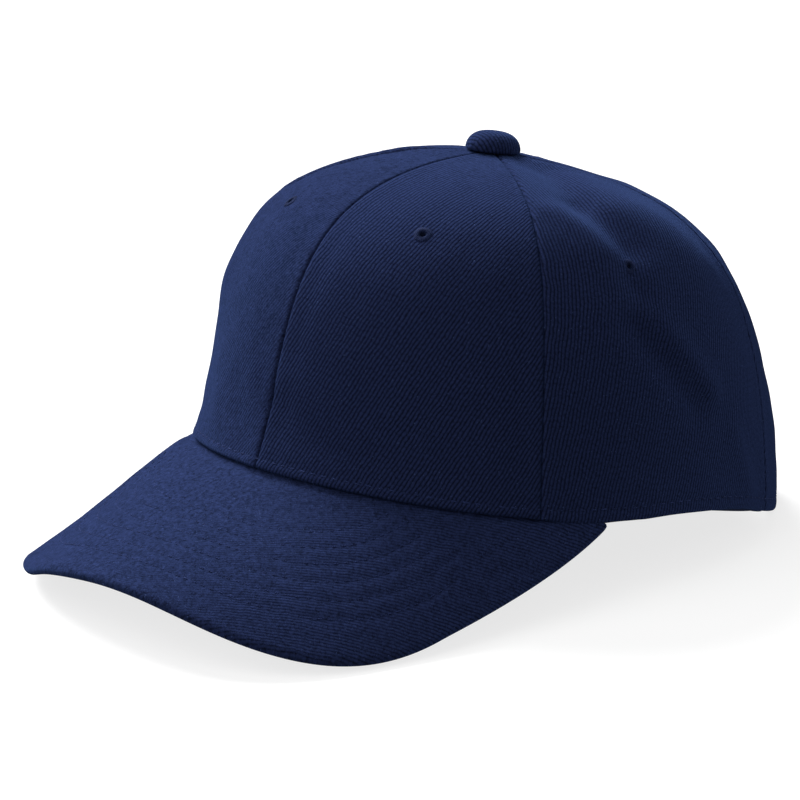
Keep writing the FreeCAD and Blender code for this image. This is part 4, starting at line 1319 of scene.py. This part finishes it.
def binding(material):
    """Makes the bias binding over the edge of the back opening; returns its stitch paths."""
    turn = np.linspace(0.018, np.pi - 0.018, 150)[:, None]
    over, lap, stitched = 2.3, -4.6, -3.2
    outline = [(lap, -0.05), (lap + 0.15, -0.4), (lap + 0.6, -0.5), (-2.4, -0.52), (-0.6, -0.55), (0.9, -0.52),
               (over - 0.5, -0.42), (over - 0.12, -0.1), (over, 0.3), (over - 0.1, 0.75), (over - 0.5, 1.08),
               (0.9, 1.2), (-0.6, 1.3), (-2.4, 1.32), (lap + 0.6, 1.3), (lap + 0.15, 1.2), (lap, 0.9),
               (lap + 0.5, 0.7), (-1.0, 0.6), (1.2, 0.4), (-1.0, 0.2), (lap + 0.5, 0.15)]
    inward, depth = np.array(outline).T[:, None]
    pull = 0.1 * np.sin(turn * 60) * bump(inward - stitched, 1.2) * np.sign(depth - 0.4)

    def beside_opening(inward, depth):
        """The point this far inside the opening's edge."""
        return at_back((OPENING_HALF_WIDTH - inward) * np.cos(turn),
                       RIM_BACK + (OPENING_HEIGHT - inward) * np.sin(turn), depth)

    stations = beside_opening(inward, depth + pull)
    along = travelled(stations[:, 3])
    made = strip_piece("back_opening_binding_tape", stations, (along[:, None], inward + depth))
    finish_piece(made, material, "binding", ["back_opening_binding"])
    paths = []
    for level, sign in ((-0.56, 1.0), (1.36, -1.0)):
        path, deeper = (beside_opening(stitched, depth)[:, 0] for depth in (level, level + 1.0))
        paths.append((path, (path - deeper) * sign))
    return paths


STRAP_MIDDLE, STRAP_HALF, STRAP_THICKNESS = STRAP_FOOT + STRAP_HEIGHT / 2, STRAP_HEIGHT / 2, 1.0
OUTER_TOP, INNER_TOP, HOOK_TOP, LOOP_TOP = 1.6, 4.05, 2.65, 3.5
NOSE, STRAP_STITCH_MARGIN, STRAP_STITCH_SINK = 7.0, 1.7, 0.03
HINGE_HALF, PATCH_MARGIN, LOOP_SHIFT, PATCH_THICKNESS = 3.5, 2.0, 3.0, 0.5


def nose_half(x, tip, half):
    """Half the width of a strip at x, which narrows over the rounded end at tip."""
    left = np.clip(np.abs(x - tip) / NOSE, 0, 1)
    return half - NOSE * (1 - np.sqrt(np.maximum(0.0, 1 - (1 - left) ** 2)))


def strap_flat(x):
    """The outer strap lies against the crown all along."""
    return 0.0 * np.asarray(x, float)


def strap_dive(x):
    """How much deeper the inner strap lies at x: it dives behind the outer one at its sewn end."""
    return (INNER_TOP - OUTER_TOP) * smooth((x + TAB_END_X) / (TAB_END_X - HINGE_X - 1.6))


def strap_stations(first, tip, steps):
    """Places along a strip, closer together over its rounded end."""
    body = tip + NOSE * np.sign(first - tip)
    straight = np.linspace(first, body, steps)
    turn = np.linspace(0, 1, 14)[1:]
    return np.concatenate([straight, body + (tip - body) * np.sin(turn * np.pi / 2 * 0.995)])


def strap_piece(name, first, tip, half, top, thickness, extra, rounding, step=1.2):
    """A strip of the closure from first to its rounded end at tip, deeper by extra at each place."""
    x = strap_stations(first, tip, int(abs(first - tip) / step) + 2)
    offset, depth = strip_loop(half, top, top + thickness, 21, rounding)
    up = offset[None, :] * nose_half(x, tip, half)[:, None] / half
    stations = back_point(x[:, None], STRAP_MIDDLE + up, depth[None, :] + extra(x)[:, None])
    return strip_piece(name, stations, (x[:, None], up + 100), flip=first > tip)


def outline_path(first, tip, level, extra, sign):
    """The stitch path round a strap's edge, with normals out of or into the crown."""
    margin = STRAP_STITCH_MARGIN
    inner_half = STRAP_HALF - margin
    end, body = (tip + reach * np.sign(first - tip) for reach in (margin, NOSE))
    turn = np.linspace(0, np.pi / 2, 16)[1:]
    top_x = np.concatenate([np.linspace(first, body, 70), body + (end - body) * np.sin(turn)])
    top_h = np.concatenate([np.full(70, inner_half), inner_half - (NOSE - margin) * (1 - np.cos(turn))])
    across = np.linspace(top_h[-1], -top_h[-1], 12)[1:-1]
    x = np.concatenate([top_x, 0 * across + end, top_x[::-1]])
    h = np.concatenate([top_h, across, -top_h[::-1]])
    path, deeper = (back_point(x, STRAP_MIDDLE + h, level + extra(x) + more) for more in (0.0, 1.0))
    return path, (path - deeper) * sign


def hinge_line(x, depth):
    """Start and end of a strap's bend, either side of its sewn line at x."""
    away = HINGE_HALF * np.sign(x)
    return [tuple(to_row(back_point(x + step, STRAP_MIDDLE, depth))) for step in (away, -away)]


# ------------------------------------------------------------ make everything

crown_cloth = {kind: twill(f"crown_twill_{kind}", heading) for kind, heading in WEAVE_HEADING.items()}
brim_twill = twill("brim_twill", -45.0, pitch=0.95, worn=0.45, relief=0.00012)
tape_cloth = plain_cloth("seam_tape_cotton", rgb(17, 21, 40), rgb(52, 64, 104), 0.55, herring=0.35)
band_cloth = plain_cloth("sweatband_cotton", rgb(13, 16, 31), rgb(40, 50, 86), 0.6)
binding_cloth = plain_cloth("binding_cotton", rgb(12, 15, 29), rgb(36, 45, 80), 0.5, herring=0.8)
strap_cloth = twill("strap_twill", 45.0, pitch=1.1)
eyelet_thread = thread_material("eyelet_thread", rgb(17, 22, 42), rgb(34, 44, 82))
seam_thread = thread_material("sewing_thread", rgb(22, 28, 54), rgb(46, 58, 102))
brim_thread = thread_material("brim_thread", rgb(22, 28, 54), rgb(46, 58, 104))
net = gauze("buckram_net")

for index, name in enumerate(PANELS):
    crown_panel(index, name, crown_cloth[name.split("_")[0]])
    eyelet(name, eyelet_thread)
for name in ("front_left", "front_right"):
    buckram(name, net)

tape_paths = []
for name, node, seam, level, foot_back in (
        ("centre_seam_tape_cloth", "seam_tape_centre", 0.0, 0.0, 58.0),
        ("left_right_seam_tape_cloth", "seam_tape_left_to_right", 60.0, TAPE_STEP, 3.0),
        ("right_left_seam_tape_cloth", "seam_tape_right_to_left", -60.0, TAPE_STEP * 2, 3.0)):
    tape_paths += seam_tape(name, node, seam, level, 3.0, foot_back, tape_cloth)
stitches("seam_tape", tape_paths, seam_thread)

sweatband(band_cloth)
stitches("rim", [ring_path(0.12, True)], seam_thread, ["rim_stitching"])
stitches("sweatband", [ring_path(SWEAT_OUTER + SWEAT_THICKNESS - 0.2, False)], seam_thread)

brim_board(board("brim_fibre_board"))
brim_cloth("brim_top_cloth", "brim_top_cover", True, brim_twill)
brim_cloth("brim_under_cloth", "brim_under_cover", False, brim_twill)
stitches("brim", brim_rows(), brim_thread, ["brim_stitching"])
button_cover(crown_cloth["front"])
stitches("binding", binding(binding_cloth), seam_thread)

# Each strap: x of its sewn end and of its tip, shape, hinge and CAD nodes
STRAPS = {
    "outer_strap": (TAB_END_X, OUTER_TIP_X, strap_flat, hinge_line(HINGE_X, OUTER_TOP + 0.5),
                    ["strap_tab_left", "closure_strap_outer"]),
    "inner_strap": (-TAB_END_X, INNER_TIP_X, strap_dive, hinge_line(-HINGE_X, INNER_TOP + 0.5),
                    ["strap_tab_right", "closure_strap_inner"]),
}
for name, (first, tip, extra, hinge, nodes) in STRAPS.items():
    made = strap_piece(f"{name}_cloth", first, tip, STRAP_HALF, OUTER_TOP, STRAP_THICKNESS, extra, 4)
    finish_piece(made, strap_cloth, "strap", nodes, ["crown", name], hinge)
STRAP_FACES = ((OUTER_TOP + STRAP_STITCH_SINK, 1.0), (OUTER_TOP + STRAP_THICKNESS - STRAP_STITCH_SINK, -1.0))
for name, (first, tip, extra, hinge, _) in STRAPS.items():
    paths = [outline_path(first, tip, level, extra, sign) for level, sign in STRAP_FACES]
    stitches(name, paths, seam_thread, (), ["crown", name], hinge)

loop_pile = fleece("loop_pile", rgb(12, 15, 28), rgb(44, 54, 90), 2.2, 0.0005)
PATCH_HALF = STRAP_HALF - PATCH_MARGIN
for name, first, tip, top, material, slot, body, node in (
        ("hook_patch_tape", PATCH_START_X, OUTER_TIP_X + PATCH_MARGIN, HOOK_TOP, hooks("hook_tape"),
         "hook", "outer_strap", "hook_patch"),
        ("loop_patch_pile", OUTER_TIP_X + LOOP_SHIFT, INNER_TIP_X - PATCH_MARGIN, LOOP_TOP, loop_pile,
         "loop", "inner_strap", "loop_patch")):
    made = strap_piece(name, first, tip, PATCH_HALF, top, PATCH_THICKNESS, strap_flat, 3, 0.9)
    finish_piece(made, material, slot, [node], [body])

finishes = {
    "sweatband_interlining": fleece("interlining_felt", rgb(16, 19, 33), rgb(38, 44, 70)),
    "button_shell": steel("button_shell_metal", rgb(120, 122, 126), rgb(186, 188, 192), 0.35),
    "button_post": steel("button_post_metal", rgb(112, 112, 114), rgb(176, 176, 178), 0.4),
    "button_washer": steel("button_washer_metal", rgb(128, 128, 130), rgb(196, 196, 198), 0.32),
}
for node, material in finishes.items():
    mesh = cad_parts[node].data
    for place in range(max(1, len(mesh.materials))):
        if len(mesh.materials) <= place:
            mesh.materials.append(material)
        mesh.materials[place] = material


# ------------------------------------------------------- camera, floor, light

CAMERA_AZIMUTH, CAMERA_ELEVATION, CAMERA_ROLL = 45.651, 12.638, 2.858
CAMERA_DISTANCE, CAMERA_LENS, CAMERA_SHIFT = 1272.78, 186.65955, (-0.04695, -0.0695775)
AIM = np.array([0.0, -25.0, 60.0])
FLOOR_REACH, FLOOR_DROP, FLOOR_GREY, FLOOR_GLOW, WORLD_LIGHT = 40.0, -0.0005, 0.27, 0.76, 0.35

azimuth, elevation, roll = (math.radians(v) for v in (CAMERA_AZIMUTH, CAMERA_ELEVATION, CAMERA_ROLL))
away = math.cos(elevation)
back = np.array([math.sin(azimuth) * away, -math.cos(azimuth) * away, math.sin(elevation)])
level = np.array([math.cos(azimuth), math.sin(azimuth), 0.0])
above = np.cross(back, level)
right = math.cos(roll) * level + math.sin(roll) * above
up = -math.sin(roll) * level + math.cos(roll) * above
back, right, up = (rotate_x(v, TILT) for v in (back, right, up))
camera = bpy.data.cameras.new("camera")
camera.sensor_width = 36.0
camera.lens = CAMERA_LENS
camera.shift_x, camera.shift_y = CAMERA_SHIFT
camera.clip_start, camera.clip_end = 0.05, 20.0
eye = to_row(AIM) + back * CAMERA_DISTANCE / 1000
bpy.context.scene.camera = link_object("camera", camera)
bpy.context.scene.camera.matrix_world = Matrix([*np.stack([right, up, back, eye], 1).tolist(), [0, 0, 0, 1]])

corners = [(x * FLOOR_REACH, y * FLOOR_REACH, FLOOR_DROP) for x, y in ((-1, -1), (1, -1), (1, 1), (-1, 1))]
floor_mesh = bpy.data.meshes.new("floor")
floor_mesh.from_pydata(corners, [], [(0, 1, 2, 3)])
floor = link_object("floor", floor_mesh)
pale = Shader("pale_floor", roughness=0.9, specular=0.1)
pale.shader.inputs["Emission Color"].default_value = (1, 1, 1, 1)
pale.shader.inputs["Emission Strength"].default_value = FLOOR_GLOW
floor_mesh.materials.append(pale.finish((FLOOR_GREY, FLOOR_GREY, FLOOR_GREY, 1)))
# the floor's glow is seen by the camera only and does not light the cap
for sight in ("visible_diffuse", "visible_glossy", "visible_shadow"):
    setattr(floor, sight, False)

world = bpy.data.worlds.new("studio")
bpy.context.scene.world = world
world.use_nodes = True
world.node_tree.nodes["Background"].inputs[0].default_value = (1.0, 1.0, 1.0, 1)
world.node_tree.nodes["Background"].inputs[1].default_value = WORLD_LIGHT


def studio_light(name, along_view, spread, strength):
    """A broad soft light from far off, by right, up and back shares of the camera's view."""
    direction = right * along_view[0] + up * along_view[1] + back * along_view[2]
    light = bpy.data.lights.new(name, "SUN")
    light.angle = math.radians(spread)
    light.energy = strength
    lamp = link_object(name, light)
    lamp.rotation_mode = "QUATERNION"
    lamp.rotation_quaternion = Vector(direction).to_track_quat("Z", "Y")


studio_light("key", (-0.42, 0.8, -0.42), 35.0, 7.6)
studio_light("front", (-0.6, 0.6, 0.5), 60.0, 1.5)
studio_light("rim", (0.9, 0.2, -0.4), 30.0, 1.2)

bpy.context.scene.view_settings.view_transform = "Standard"
